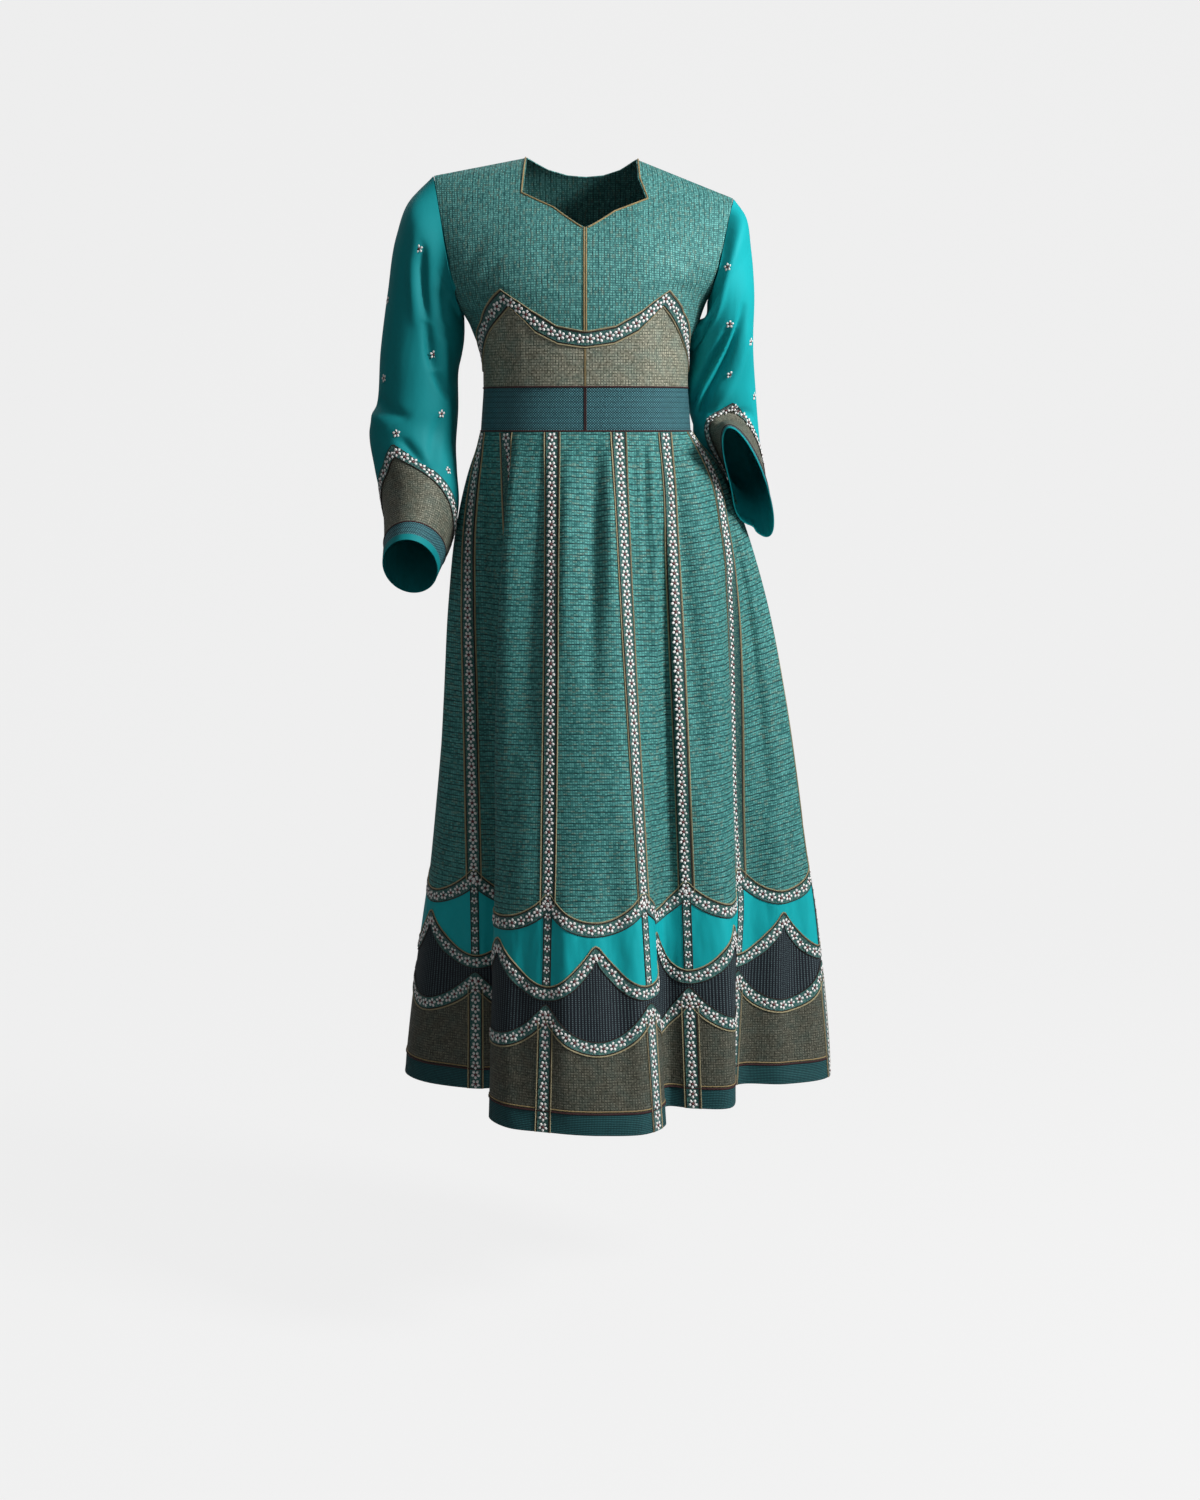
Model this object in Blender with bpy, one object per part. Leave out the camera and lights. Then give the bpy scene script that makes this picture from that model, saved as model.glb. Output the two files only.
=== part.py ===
"""A long Afghan dress: brocade bodice, pointed cuffs, twelve skirt gores and fish scale hem rows.

Metres, +Z up. The front faces -Y and +X is on the viewer's right. The origin lies between the two
neck points, where the dress hangs on its wearer's shoulders.
Every piece of cloth is a closed wall of its own. Pieces that meet at a seam are cut from one
shared surface, so their edges match, and a ribbon is cut from the surface of the cloth under it
and moved out.
"""

import bpy
import numpy as np

# Cloth
BROCADE_THICK = 0.0015
SATIN_THICK = 0.0012
RIBBON_THICK = 0.0008
RIBBON_WIDTH = 0.0156
PIPING_WIDTH = 0.0026
SEAM_INSET = 0.00022
LAID_ON = 0.0003
SHARPEST_MITRE = 0.35

# Steps and limits of the differences that give slopes
SLOPE_STEP = 0.0004
LEAST_DEPTH = 0.0015
RIBBON_STEP = 0.06

# Curves of the bodice edges, and how far ribbons reach where their seams are steep
ARMHOLE_POWER = 0.9
NOTCH_POWER = 1.5
BACK_NECK_POWER = 2.2
CHEST_WIDTH_PER_RADIAN = 0.19
SIDE_RIBBON_REACH = 0.55
CUFF_RIBBON_STRETCH = 1.25

# Bodice heights and widths
WAISTBAND_LOW = -0.3370
WAISTBAND_TOP = -0.2835
WAIST_HALF_WIDTH = 0.1272
WAISTBAND_LOW_HALF_WIDTH = 0.1313
BODY_ROUNDNESS = 2.3

# Neckline and armholes of each half; side is -1 on the viewer's left and +1 on the right
HALVES = {
    "left": dict(side=-1, neck=(0.0722, -0.0027), corner=(0.0759, -0.0499),
                 curve=(0.0364, -0.0690), tip=(0.1880, -0.0246), underarm=-0.1966),
    "right": dict(side=1, neck=(0.0625, -0.0046), corner=(0.0741, -0.0570),
                  curve=(0.0337, -0.0738), tip=(0.1831, -0.0520), underarm=-0.1780),
}
NECK_NOTCH = -0.0945
BACK_NECK = -0.0220

# How far the side stands outside the waist width, by height above the underarm point
SIDE_FLARE = np.array([
    # above, flare
    (-0.090, 0.0000),
    (-0.043, 0.0033),
    (-0.021, 0.0118),
    (0.000, 0.0213),
    (0.027, 0.0450),
    (0.057, 0.0630),
    (0.100, 0.0730),
    (0.200, 0.0780),
])

# Depth of the cloth in front of and behind the shoulder line, by drop below that line
BODY_DEPTH = np.array([
    # drop, front, back
    (0.0000, 0.0000, 0.0000),
    (0.0060, 0.0120, 0.0120),
    (0.0150, 0.0240, 0.0240),
    (0.0300, 0.0380, 0.0380),
    (0.0500, 0.0550, 0.0530),
    (0.0750, 0.0740, 0.0680),
    (0.1000, 0.0920, 0.0790),
    (0.1300, 0.1050, 0.0880),
    (0.1700, 0.1120, 0.0950),
    (0.2000, 0.1120, 0.0955),
    (0.2400, 0.1060, 0.0920),
    (0.2835, 0.0975, 0.0870),
    (0.3370, 0.0940, 0.0850),
])

# Scalloped seam between the yoke and the midriff
SCALLOP_CENTRE = -0.2272
SCALLOP_PEAK = (0.0974, -0.1780)
SCALLOP_SIDE = -0.2520
SCALLOP_ROUND = 2.1
PEAK_COLUMN = 4
FRONT_COLUMNS = 8
BACK_NECK_COLUMNS = 3
ARMHOLE_SHARES = (0.070, 0.160, 0.270, 0.410)

# Skirt: how far the cloth stands out over the straight way from the waist to the hem
GORES = 12
GORE_CELLS = 6
SKIRT_TOP = -0.3373
HEM = -1.1900
SKIRT_FULLNESS = np.array([
    # fall, left, right, front, back
    (0.00, 0.000, 0.000, 0.000, 0.000),
    (0.07, 0.012, 0.028, 0.008, 0.008),
    (0.14, 0.019, 0.036, 0.014, 0.014),
    (0.25, 0.020, 0.042, 0.016, 0.017),
    (0.40, 0.015, 0.040, 0.014, 0.016),
    (0.55, 0.010, 0.034, 0.011, 0.012),
    (0.712, 0.005, 0.027, 0.006, 0.007),
    (0.85, 0.002, 0.014, 0.003, 0.003),
    (1.00, 0.000, 0.000, 0.000, 0.000),
])
SIDE_FULLNESS_POWER = 5.0
DEPTH_GROWTH = 0.9

# Plan of the hem: gore number from the middle of the front gore, place, and how late the cloth
# moves out sideways between the waist and the hem
HEM_PLAN = np.array([
    # gore, x, y, late
    (-5.90, 0.020, 0.170, 1.0),
    (-5.50, -0.018, 0.212, 1.0),
    (-5.10, -0.072, 0.214, 1.0),
    (-4.75, -0.105, 0.172, 1.0),
    (-4.45, -0.140, 0.138, 1.0),
    (-4.05, -0.198, 0.146, 1.0),
    (-3.60, -0.236, 0.098, 1.2),
    (-3.17, -0.240, 0.032, 1.2),
    (-2.85, -0.208, -0.006, 1.1),
    (-2.50, -0.145, -0.030, 1.0),
    (-2.12, -0.090, -0.020, 0.9),
    (-1.80, -0.066, -0.040, 0.8),
    (-1.50, -0.082, -0.078, 0.7),
    (-1.11, -0.121, -0.142, 0.6),
    (-0.80, -0.096, -0.188, 1.2),
    (-0.50, -0.052, -0.204, 2.4),
    (0.00, 0.020, -0.219, 1.4),
    (0.42, 0.080, -0.208, 1.2),
    (0.62, 0.098, -0.180, 1.1),
    (0.95, 0.091, -0.132, 1.1),
    (1.22, 0.104, -0.103, 1.2),
    (1.50, 0.137, -0.112, 1.3),
    (1.85, 0.184, -0.110, 1.0),
    (2.10, 0.192, -0.072, 0.8),
    (2.40, 0.184, -0.030, 0.7),
    (2.65, 0.206, -0.010, 0.7),
    (3.00, 0.262, -0.012, 0.8),
    (3.45, 0.322, 0.020, 0.85),
    (3.80, 0.316, 0.072, 0.9),
    (4.20, 0.256, 0.092, 1.0),
    (4.50, 0.222, 0.124, 1.0),
    (4.95, 0.190, 0.182, 1.0),
    (5.30, 0.136, 0.204, 1.0),
    (5.70, 0.078, 0.178, 1.0),
])

# Scalloped rows over the hem: share of the fall at a gore seam and in the middle of a gore
SATIN_ROW = (0.6690, 0.7060)
NAVY_ROW = (0.8007, 0.7397)
OLIVE_ROW = (0.8243, 0.8752)
BAND_ROW = 0.9690
SCALE_ROUND = 2.0
STEEPEST_RIBBON = 1.0
GORE_TOP_WIDTH = 0.062
GORE_HEM_WIDTH = 0.150
GORE_ROWS = (0.0, 0.10, 0.24, 0.45, 0.72, 1.0)

# Sleeve rings below the armhole: the centre, the half axis to the outside and the one to the front
SLEEVE_RINGS = {
    "left": np.array([
        # centre x, y, z, outer x, y, z, front x, y, z
        (-0.1860, 0.000, -0.1300, -0.0326, 0.000, 0.0750, 0.000, -0.0580, 0.000),
        (-0.1940, 0.000, -0.1555, -0.0407, 0.000, 0.0595, 0.000, -0.0580, 0.000),
        (-0.2008, 0.000, -0.1998, -0.0458, 0.000, 0.0352, 0.000, -0.0570, 0.000),
        (-0.2090, 0.000, -0.2480, -0.0475, 0.000, 0.0140, 0.000, -0.0560, 0.000),
        (-0.2125, 0.000, -0.3090, -0.0500, 0.000, 0.0050, 0.000, -0.0550, 0.003),
        (-0.2190, 0.000, -0.3450, -0.0535, 0.000, 0.0065, 0.000, -0.0560, 0.012),
        (-0.2148, -0.010, -0.3850, -0.0508, 0.000, 0.0000, 0.000, -0.0550, 0.020),
        (-0.2080, -0.030, -0.4280, -0.0470, 0.000, 0.0000, 0.000, -0.0540, 0.028),
        (-0.2100, -0.058, -0.4680, -0.0400, 0.000, 0.0020, 0.000, -0.0510, 0.034),
        (-0.2170, -0.085, -0.5030, -0.0330, 0.000, 0.0000, 0.000, -0.0485, 0.0355),
    ]),
    "right": np.array([
        (0.1756, -0.002, -0.1330, 0.0226, 0.003, 0.0610, 0.000, -0.0560, 0.000),
        (0.1750, -0.004, -0.1600, 0.0305, 0.002, 0.0470, 0.000, -0.0550, 0.000),
        (0.1738, 0.004, -0.1930, 0.0358, -0.012, 0.0290, 0.000, -0.0530, 0.000),
        (0.1706, 0.020, -0.2350, 0.0392, -0.015, 0.0110, 0.000, -0.0500, 0.002),
        (0.1735, 0.044, -0.2850, 0.0433, 0.006, 0.0020, -0.006, -0.0500, 0.004),
        (0.1860, 0.062, -0.3500, 0.0380, 0.010, 0.0000, -0.014, -0.0430, 0.033),
        (0.2005, -0.005, -0.3805, 0.0235, 0.005, -0.0030, -0.021, -0.0390, 0.052),
        (0.2040, -0.042, -0.4020, 0.0280, 0.010, -0.0190, -0.020, -0.0480, 0.066),
    ]),
}
SLEEVE_COLUMNS = 18
SLEEVE_ROWS = 8
SLEEVE_SPREAD = 1.12
SLEEVE_CLEAR_TOP = 0.0008
SLEEVE_CLEAR_UNDERARM = 0.0050
CUFF_LEAD = 0.016
CUFF_EDGE = 0.009
CUFF_BAND = 0.028
CUFF_POINT_LOW = 0.038
CUFF_POINT_HIGH = 0.148
CUFF_POINT_CURVE = 1.4
CUFF_POINT_ANGLE = np.radians(60.0)


def clear_scene():
    for thing in list(bpy.data.objects):
        bpy.data.objects.remove(thing, do_unlink=True)


def cloth(name, colour, roughness, metallic=0.0):
    """A plain material of the cloth's colour."""
    material = bpy.data.materials.new(name)
    material.use_nodes = True
    shader = material.node_tree.nodes["Principled BSDF"]
    shader.inputs["Base Color"].default_value = (*colour, 1.0)
    shader.inputs["Roughness"].default_value = roughness
    shader.inputs["Metallic"].default_value = metallic
    return material


def through(knots, values, at):
    """Smooth curve through the rows of a table: a cubic between each two rows, whose slope at a
    row comes from its neighbours."""
    slopes = np.gradient(values, knots, axis=0)
    low = np.clip(np.searchsorted(knots, at, side="right") - 1, 0, len(knots) - 2)
    span = knots[low + 1] - knots[low]
    share = (at - knots[low]) / span
    if values.ndim > 1:
        share = share[..., None]
        span = span[..., None]
    rest = 1.0 - share
    return (values[low] * (1.0 + 2.0 * share) * rest ** 2
            + slopes[low] * span * share * rest ** 2
            + values[low + 1] * share ** 2 * (3.0 - 2.0 * share)
            - slopes[low + 1] * span * share ** 2 * rest)


def unit(vectors):
    return vectors / np.maximum(np.linalg.norm(vectors, axis=-1, keepdims=True), 1e-12)


def grid_normals(points, outward, closed=True):
    """Normals of a grid of points from the differences between neighbours, turned to the side
    that outward gives for each point. A closed grid repeats its first column as its last."""
    across = np.gradient(points, axis=1)
    if closed:
        across[:, 0] = points[:, 1] - points[:, -2]
        across[:, -1] = across[:, 0]
    down = np.gradient(points, axis=0)
    normals = unit(np.cross(across, down))
    turn = np.sign(np.sum(normals * outward, axis=-1, keepdims=True).mean())
    return normals * turn


def cloth_wall(name, patches, thick, lay, material):
    """A closed wall over the cells of one or more grids of (points, normals). Points shared by
    two patches become one. Its edges are drawn in by the seam inset, mitred at corners. The wall
    reaches from lay to lay + thick along the normals."""
    numbers = {}
    points = []
    normals = []
    quads = []
    for grid, grid_normal in patches:
        rows, columns = grid.shape[:2]
        keys = np.round(grid * 1e6).astype(int).reshape(-1, 3)
        labels = []
        for key, point, normal in zip(map(tuple, keys), grid.reshape(-1, 3),
                                      grid_normal.reshape(-1, 3)):
            if key not in numbers:
                numbers[key] = len(points)
                points.append(point)
                normals.append(normal)
            labels.append(numbers[key])
        labels = np.array(labels).reshape(rows, columns)
        face = np.cross(grid[0, 1] - grid[0, 0], grid[1, 0] - grid[0, 0])
        flip = np.dot(face, grid_normal[0, 0]) < 0.0
        for i in range(rows - 1):
            for j in range(columns - 1):
                quad = [labels[i, j], labels[i, j + 1], labels[i + 1, j + 1], labels[i + 1, j]]
                if flip:
                    quad = [quad[0], quad[3], quad[2], quad[1]]
                quads.append(quad)
    points = np.array(points)
    normals = np.array(normals)
    triangles = []
    for a, b, c, d in quads:
        triangles += [(a, b, c), (a, c, d)]
    directed = {(t[k], t[(k + 1) % 3]) for t in triangles for k in range(3)}
    border = [edge for edge in directed if (edge[1], edge[0]) not in directed]
    inward = {}
    for a, b in sorted(border):
        side = unit(np.cross(normals[a] + normals[b], points[b] - points[a]))
        inward.setdefault(a, []).append(side)
        inward.setdefault(b, []).append(side)
    for number, sides in inward.items():
        total = sides[0] + sides[-1]
        mitre = max(1.0 + float(np.dot(sides[0], sides[-1])), SHARPEST_MITRE)
        points[number] = points[number] + total / mitre * SEAM_INSET
    count = len(points)
    vertices = np.concatenate([points + normals * (lay + thick), points + normals * lay])
    faces = list(triangles)
    faces += [(a + count, c + count, b + count) for a, b, c in triangles]
    for a, b in sorted(border):
        faces += [(b, a, a + count), (b, a + count, b + count)]
    mesh = bpy.data.meshes.new(name)
    mesh.from_pydata(vertices.tolist(), [], [tuple(int(k) for k in face) for face in faces])
    mesh.validate()
    mesh.shade_smooth()
    mesh.set_sharp_from_angle(angle=np.radians(50.0))
    mesh.materials.append(material)
    piece = bpy.data.objects.new(name, mesh)
    bpy.context.collection.objects.link(piece)
    return piece


def shoulder_height(half, x):
    """Height of the shoulder line over a place x, level inside the neck point."""
    neck_x, neck_z = half["neck"]
    tip_x, tip_z = half["tip"]
    share = np.clip((np.abs(x) - neck_x) / (tip_x - neck_x), 0.0, 1.2)
    return neck_z + (tip_z - neck_z) * share


def body_half_width(half, z):
    """Half width of the body at height z: the waist width, wider down the waistband and up
    towards the underarm."""
    band = np.clip((WAISTBAND_TOP - z) / (WAISTBAND_TOP - WAISTBAND_LOW), 0.0, 1.0)
    above = np.clip(z - half["underarm"], SIDE_FLARE[0, 0], SIDE_FLARE[-1, 0])
    flare = through(SIDE_FLARE[:, 0], SIDE_FLARE[:, 1], above)
    return WAIST_HALF_WIDTH + (WAISTBAND_LOW_HALF_WIDTH - WAIST_HALF_WIDTH) * band + flare


def body_depth(half, x, z, column):
    """Depth of the front (column 1) or back (column 2) at the body's middle. The drop below the
    shoulder line is scaled so that it ends at one value on the waistband's low edge."""
    top = shoulder_height(half, x)
    drop = (top - z) * WAISTBAND_LOW / (WAISTBAND_LOW - top)
    drop = np.clip(drop, 0.0, BODY_DEPTH[-1, 0])
    return through(BODY_DEPTH[:, 0], BODY_DEPTH[:, column], drop)


def body_gradient(half, points, column):
    """Outward direction on the rounded body section |x/w|^n + |y/d|^n = 1, by differences."""
    def level(x, y, z):
        width = body_half_width(half, z)
        depth = np.maximum(body_depth(half, x, z, column), LEAST_DEPTH)
        return np.abs(x / width) ** BODY_ROUNDNESS + np.abs(y / depth) ** BODY_ROUNDNESS
    x, y, z = np.moveaxis(points, -1, 0)
    step = SLOPE_STEP
    slope = np.stack([level(x + step, y, z) - level(x - step, y, z),
                      level(x, y + step, z) - level(x, y - step, z),
                      level(x, y, z + step) - level(x, y, z - step)], axis=-1)
    return unit(slope)


def shoulder_normal(half):
    """Direction straight up from the shoulder seam."""
    neck_x, neck_z = half["neck"]
    tip_x, tip_z = half["tip"]
    return unit(np.array([half["side"] * (neck_z - tip_z), 0.0, tip_x - neck_x]))


def body_angle(half, x, z):
    """Angle round the rounded section at which it lies at x."""
    ratio = np.clip(np.abs(x) / body_half_width(half, z), 0.0, 1.0)
    return np.arcsin(ratio ** (BODY_ROUNDNESS / 2.0))


def body_surface(half, angle, z, column):
    """Point of the body at an angle from the middle (0) to the side (a quarter turn)."""
    power = 2.0 / BODY_ROUNDNESS
    x = body_half_width(half, z) * np.sin(angle) ** power
    facing = -1.0 if column == 1 else 1.0
    y = facing * body_depth(half, x, z, column) * np.abs(np.cos(angle)) ** power
    return np.stack([half["side"] * x, y, z], axis=-1)


def armhole_x(half, z):
    """Half width of the armhole's edge at height z, from the underarm to the shoulder tip."""
    tip_x, tip_z = half["tip"]
    low = half["underarm"]
    share = np.clip((z - low) / (tip_z - low), 0.0, 1.0) ** ARMHOLE_POWER
    under_x = WAIST_HALF_WIDTH + SIDE_FLARE[3, 1]
    return under_x + (tip_x - under_x) * share


def side_rows(half):
    """Heights at which the rows of the bodice meet the side seam, and then the armhole."""
    tip_z = half["tip"][1]
    reach = tip_z - half["underarm"]
    armhole = [tip_z - share * reach for share in ARMHOLE_SHARES]
    level = armhole[-1]
    between = [half["underarm"] + (level - half["underarm"]) * k / 3.0 for k in (1, 2)]
    ribbon = RIBBON_WIDTH * SIDE_RIBBON_REACH
    return ([WAISTBAND_LOW, WAISTBAND_TOP, SCALLOP_SIDE - ribbon, SCALLOP_SIDE + ribbon,
             half["underarm"]] + between + armhole[::-1] + [tip_z])


def front_grid(half):
    """Points and normals of one front half. Rows run from the waistband's low edge over the
    scalloped seam to the shoulder seam, columns from the centre front and neckline to the side."""
    side_z = side_rows(half)
    rows = len(side_z)
    underarm_row = 4
    notch_row = 7
    peak_x, peak_z = SCALLOP_PEAK
    neck_edge = [(0.0, NECK_NOTCH), half["curve"], half["corner"],
                 (half["neck"][0] + 0.002, 0.5 * (half["corner"][1] + half["neck"][1])),
                 half["neck"]]
    centre_z = [WAISTBAND_LOW, WAISTBAND_TOP]
    peak_share = body_angle(half, peak_x, peak_z) / (0.5 * np.pi)
    first = body_angle(half, PIPING_WIDTH, SCALLOP_CENTRE) / (0.5 * np.pi)
    inner = first + (peak_share - first) * np.arange(PEAK_COLUMN) / (PEAK_COLUMN - 1.0)
    outer_cells = FRONT_COLUMNS - PEAK_COLUMN
    outer = peak_share + (1.0 - peak_share) * np.arange(1, outer_cells + 1) / outer_cells
    share = np.concatenate([[0.0], inner, outer])
    grid = np.zeros((rows, FRONT_COLUMNS + 1, 3))
    scallop = SCALLOP_CENTRE + (peak_z - SCALLOP_CENTRE) * (share / peak_share) ** SCALLOP_ROUND
    down = peak_z + (SCALLOP_SIDE - peak_z) * (share - peak_share) / (1.0 - peak_share)
    scallop = np.where(share <= peak_share, scallop, down)
    steep = np.clip(np.abs(np.gradient(scallop, share * 0.2)), 0.0, STEEPEST_RIBBON)
    half_height = 0.5 * RIBBON_WIDTH * np.sqrt(1.0 + steep ** 2)
    low_edge = scallop - half_height
    high_edge = scallop + half_height
    low_edge[-1] = side_z[2]
    high_edge[-1] = side_z[3]
    notch = NECK_NOTCH + (side_z[notch_row] - NECK_NOTCH) * share ** NOTCH_POWER
    for row in range(rows):
        start_x = 0.0
        if row < len(centre_z):
            z = np.full(FRONT_COLUMNS + 1, centre_z[row])
        elif row == 2:
            z = low_edge
        elif row == 3:
            z = high_edge
        elif row < notch_row:
            part = (side_z[row] - side_z[3]) / (side_z[notch_row] - side_z[3])
            z = high_edge + (notch - high_edge) * part
        else:
            start_x, start_z = neck_edge[row - notch_row]
            straight = start_z + (side_z[row] - start_z) * share
            z = notch if row == notch_row else straight
        start = body_angle(half, start_x, z[0])
        end = 0.5 * np.pi
        if row > underarm_row:
            end = body_angle(half, armhole_x(half, z[-1]), z[-1])
        narrow = PIPING_WIDTH / CHEST_WIDTH_PER_RADIAN / (end - start)
        spread = share if row < notch_row else first_cell(share, narrow)
        angle = start + (end - start) * spread
        grid[row] = body_surface(half, angle, z, 1)
        if row == rows - 1:
            x = start_x + (half["tip"][0] - start_x) * spread
            grid[row] = np.stack([half["side"] * x, 0.0 * x, shoulder_height(half, x)], axis=-1)
    normals = body_gradient(half, grid, 1)
    normals[-1] = shoulder_normal(half)
    level_edges(normals)
    return grid, normals


def first_cell(share, width):
    """Column shares with the first cell set to a given width and the rest spread evenly."""
    rest = (share - share[1]) / (1.0 - share[1])
    spread = width + (1.0 - width) * rest
    spread[0] = 0.0
    return spread


def level_edges(normals):
    """The waistband's edges are cut square, so that the skirt can meet them."""
    normals[0, :, 2] = 0.0
    normals[0] = unit(normals[0])


def back_grid():
    """Points and normals of the whole back, from the left side over the centre to the right.
    Its shoulder columns match those of the fronts."""
    sides = []
    for half in (HALVES["left"], HALVES["right"]):
        front, _ = front_grid(half)
        side_z = side_rows(half)
        rows = len(side_z)
        neck_x, neck_z = half["neck"]
        columns = BACK_NECK_COLUMNS + FRONT_COLUMNS
        neck_share = np.arange(BACK_NECK_COLUMNS) / BACK_NECK_COLUMNS
        top_x = np.concatenate([neck_share * neck_x, np.abs(front[-1, :, 0])])
        neck_z_row = BACK_NECK + (neck_z - BACK_NECK) * neck_share ** BACK_NECK_POWER
        top_z = np.concatenate([neck_z_row, front[-1, :, 2]])
        share = top_x / top_x[-1]
        grid = np.zeros((rows, columns + 1, 3))
        for row in range(rows):
            z_side = side_z[row]
            if row < 5:
                z = np.full(columns + 1, z_side)
                end = 0.5 * np.pi
            else:
                part = (z_side - side_z[4]) / (side_z[-1] - side_z[4])
                z = side_z[4] + (top_z - side_z[4]) * part
                end = body_angle(half, armhole_x(half, z[-1]), z[-1])
            angle = end * share
            if row == rows - 1:
                angle = body_angle(half, top_x, top_z)
            grid[row] = body_surface(half, angle, z, 2)
        normals = body_gradient(half, grid, 2)
        grid[-1, BACK_NECK_COLUMNS:] = front[-1]
        normals[-1, BACK_NECK_COLUMNS:] = shoulder_normal(half)
        level_edges(normals)
        sides.append((grid, normals))
    (left, left_n), (right, right_n) = sides
    centre = 0.5 * (left[:, :1] + right[:, :1])
    centre_n = unit(left_n[:, :1] + right_n[:, :1])
    grid = np.concatenate([left[:, :0:-1], centre, right[:, 1:]], axis=1)
    normals = np.concatenate([left_n[:, :0:-1], centre_n, right_n[:, 1:]], axis=1)
    return grid, normals


def build_bodice(cloths):
    for name, half in HALVES.items():
        grid, normals = front_grid(half)

        def cut(rows, columns):
            return [(grid[rows, columns], normals[rows, columns])]
        everything = slice(None)
        cloth_wall(f"waistband_{name}", cut(slice(0, 2), everything), BROCADE_THICK, 0.0,
                   cloths["waistband"])
        cloth_wall(f"midriff_{name}", cut(slice(1, 3), everything), BROCADE_THICK, 0.0,
                   cloths["olive"])
        cloth_wall(f"yoke_{name}", cut(slice(2, None), everything), BROCADE_THICK, 0.0,
                   cloths["brocade"])
        on_top = BROCADE_THICK + LAID_ON
        cloth_wall(f"scallop_ribbon_{name}", cut(slice(2, 4), everything), RIBBON_THICK, on_top,
                   cloths["ribbon"])
        cloth_wall(f"piping_{name}", cut(slice(3, None), slice(0, 2)), RIBBON_THICK, on_top,
                   cloths["piping"])
    grid, normals = back_grid()
    cloth_wall("waistband_back", [(grid[0:2], normals[0:2])], BROCADE_THICK, 0.0,
               cloths["waistband"])
    cloth_wall("bodice_back", [(grid[1:], normals[1:])], BROCADE_THICK, 0.0, cloths["brocade"])


def armhole_loop(half, angle):
    """Edge of the armhole: from the shoulder tip (0) down the front to the underarm (half a turn)
    and up the back."""
    front = angle <= np.pi
    way = np.where(front, angle, 2.0 * np.pi - angle)
    share = 0.5 * (0.5 - 0.5 * np.cos(way)) + 0.5 * way / np.pi
    tip_z = half["tip"][1]
    z = tip_z + (half["underarm"] - tip_z) * share
    x = armhole_x(half, z)
    section = np.cos(body_angle(half, x, z)) ** (2.0 / BODY_ROUNDNESS)
    depth = np.where(front, -body_depth(half, x, z, 1), body_depth(half, x, z, 2))
    clear = SLEEVE_CLEAR_TOP + (SLEEVE_CLEAR_UNDERARM - SLEEVE_CLEAR_TOP) * share
    return np.stack([half["side"] * (x + clear), depth * section, z], axis=-1)


def sleeve_surface(name, angle, along):
    """Point of a sleeve at an angle round it and a share of the way from armhole to hem: a smooth
    curve through the armhole and the rings below it."""
    rings = SLEEVE_RINGS[name]
    circle = np.cos(angle)[..., None], np.sin(angle)[..., None]
    loops = [armhole_loop(HALVES[name], angle)]
    for ring in rings:
        loops.append(ring[0:3] + ring[3:6] * circle[0] + ring[6:9] * circle[1])
    centres = np.concatenate([[loops[0].reshape(-1, 3).mean(axis=0)], rings[:, 0:3]])
    steps = np.linalg.norm(np.diff(centres, axis=0), axis=1)
    knots = np.concatenate([[0.0], np.cumsum(steps)])
    stack = np.stack(loops)
    slopes = np.gradient(stack, knots, axis=0)
    at = along * knots[-1]
    low = np.clip(np.searchsorted(knots, at, side="right") - 1, 0, len(knots) - 2)
    span = (knots[low + 1] - knots[low])[..., None]
    share = ((at - knots[low])[..., None]) / span
    rest = 1.0 - share
    near = np.take_along_axis(stack, low[None, ..., None], axis=0)[0]
    far = np.take_along_axis(stack, low[None, ..., None] + 1, axis=0)[0]
    near_slope = np.take_along_axis(slopes, low[None, ..., None], axis=0)[0]
    far_slope = np.take_along_axis(slopes, low[None, ..., None] + 1, axis=0)[0]
    return (near * (1.0 + 2.0 * share) * rest ** 2 + near_slope * span * share * rest ** 2
            + far * share ** 2 * (3.0 - 2.0 * share) - far_slope * span * share ** 2 * rest)


def sleeve_length(name):
    """Length of the sleeve's middle line from the armhole to the hem."""
    rings = SLEEVE_RINGS[name]
    start = armhole_loop(HALVES[name], np.linspace(0.0, 2.0 * np.pi, 33)[:-1]).mean(axis=0)
    centres = np.concatenate([[start], rings[:, 0:3]])
    return float(np.linalg.norm(np.diff(centres, axis=0), axis=1).sum())


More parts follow.
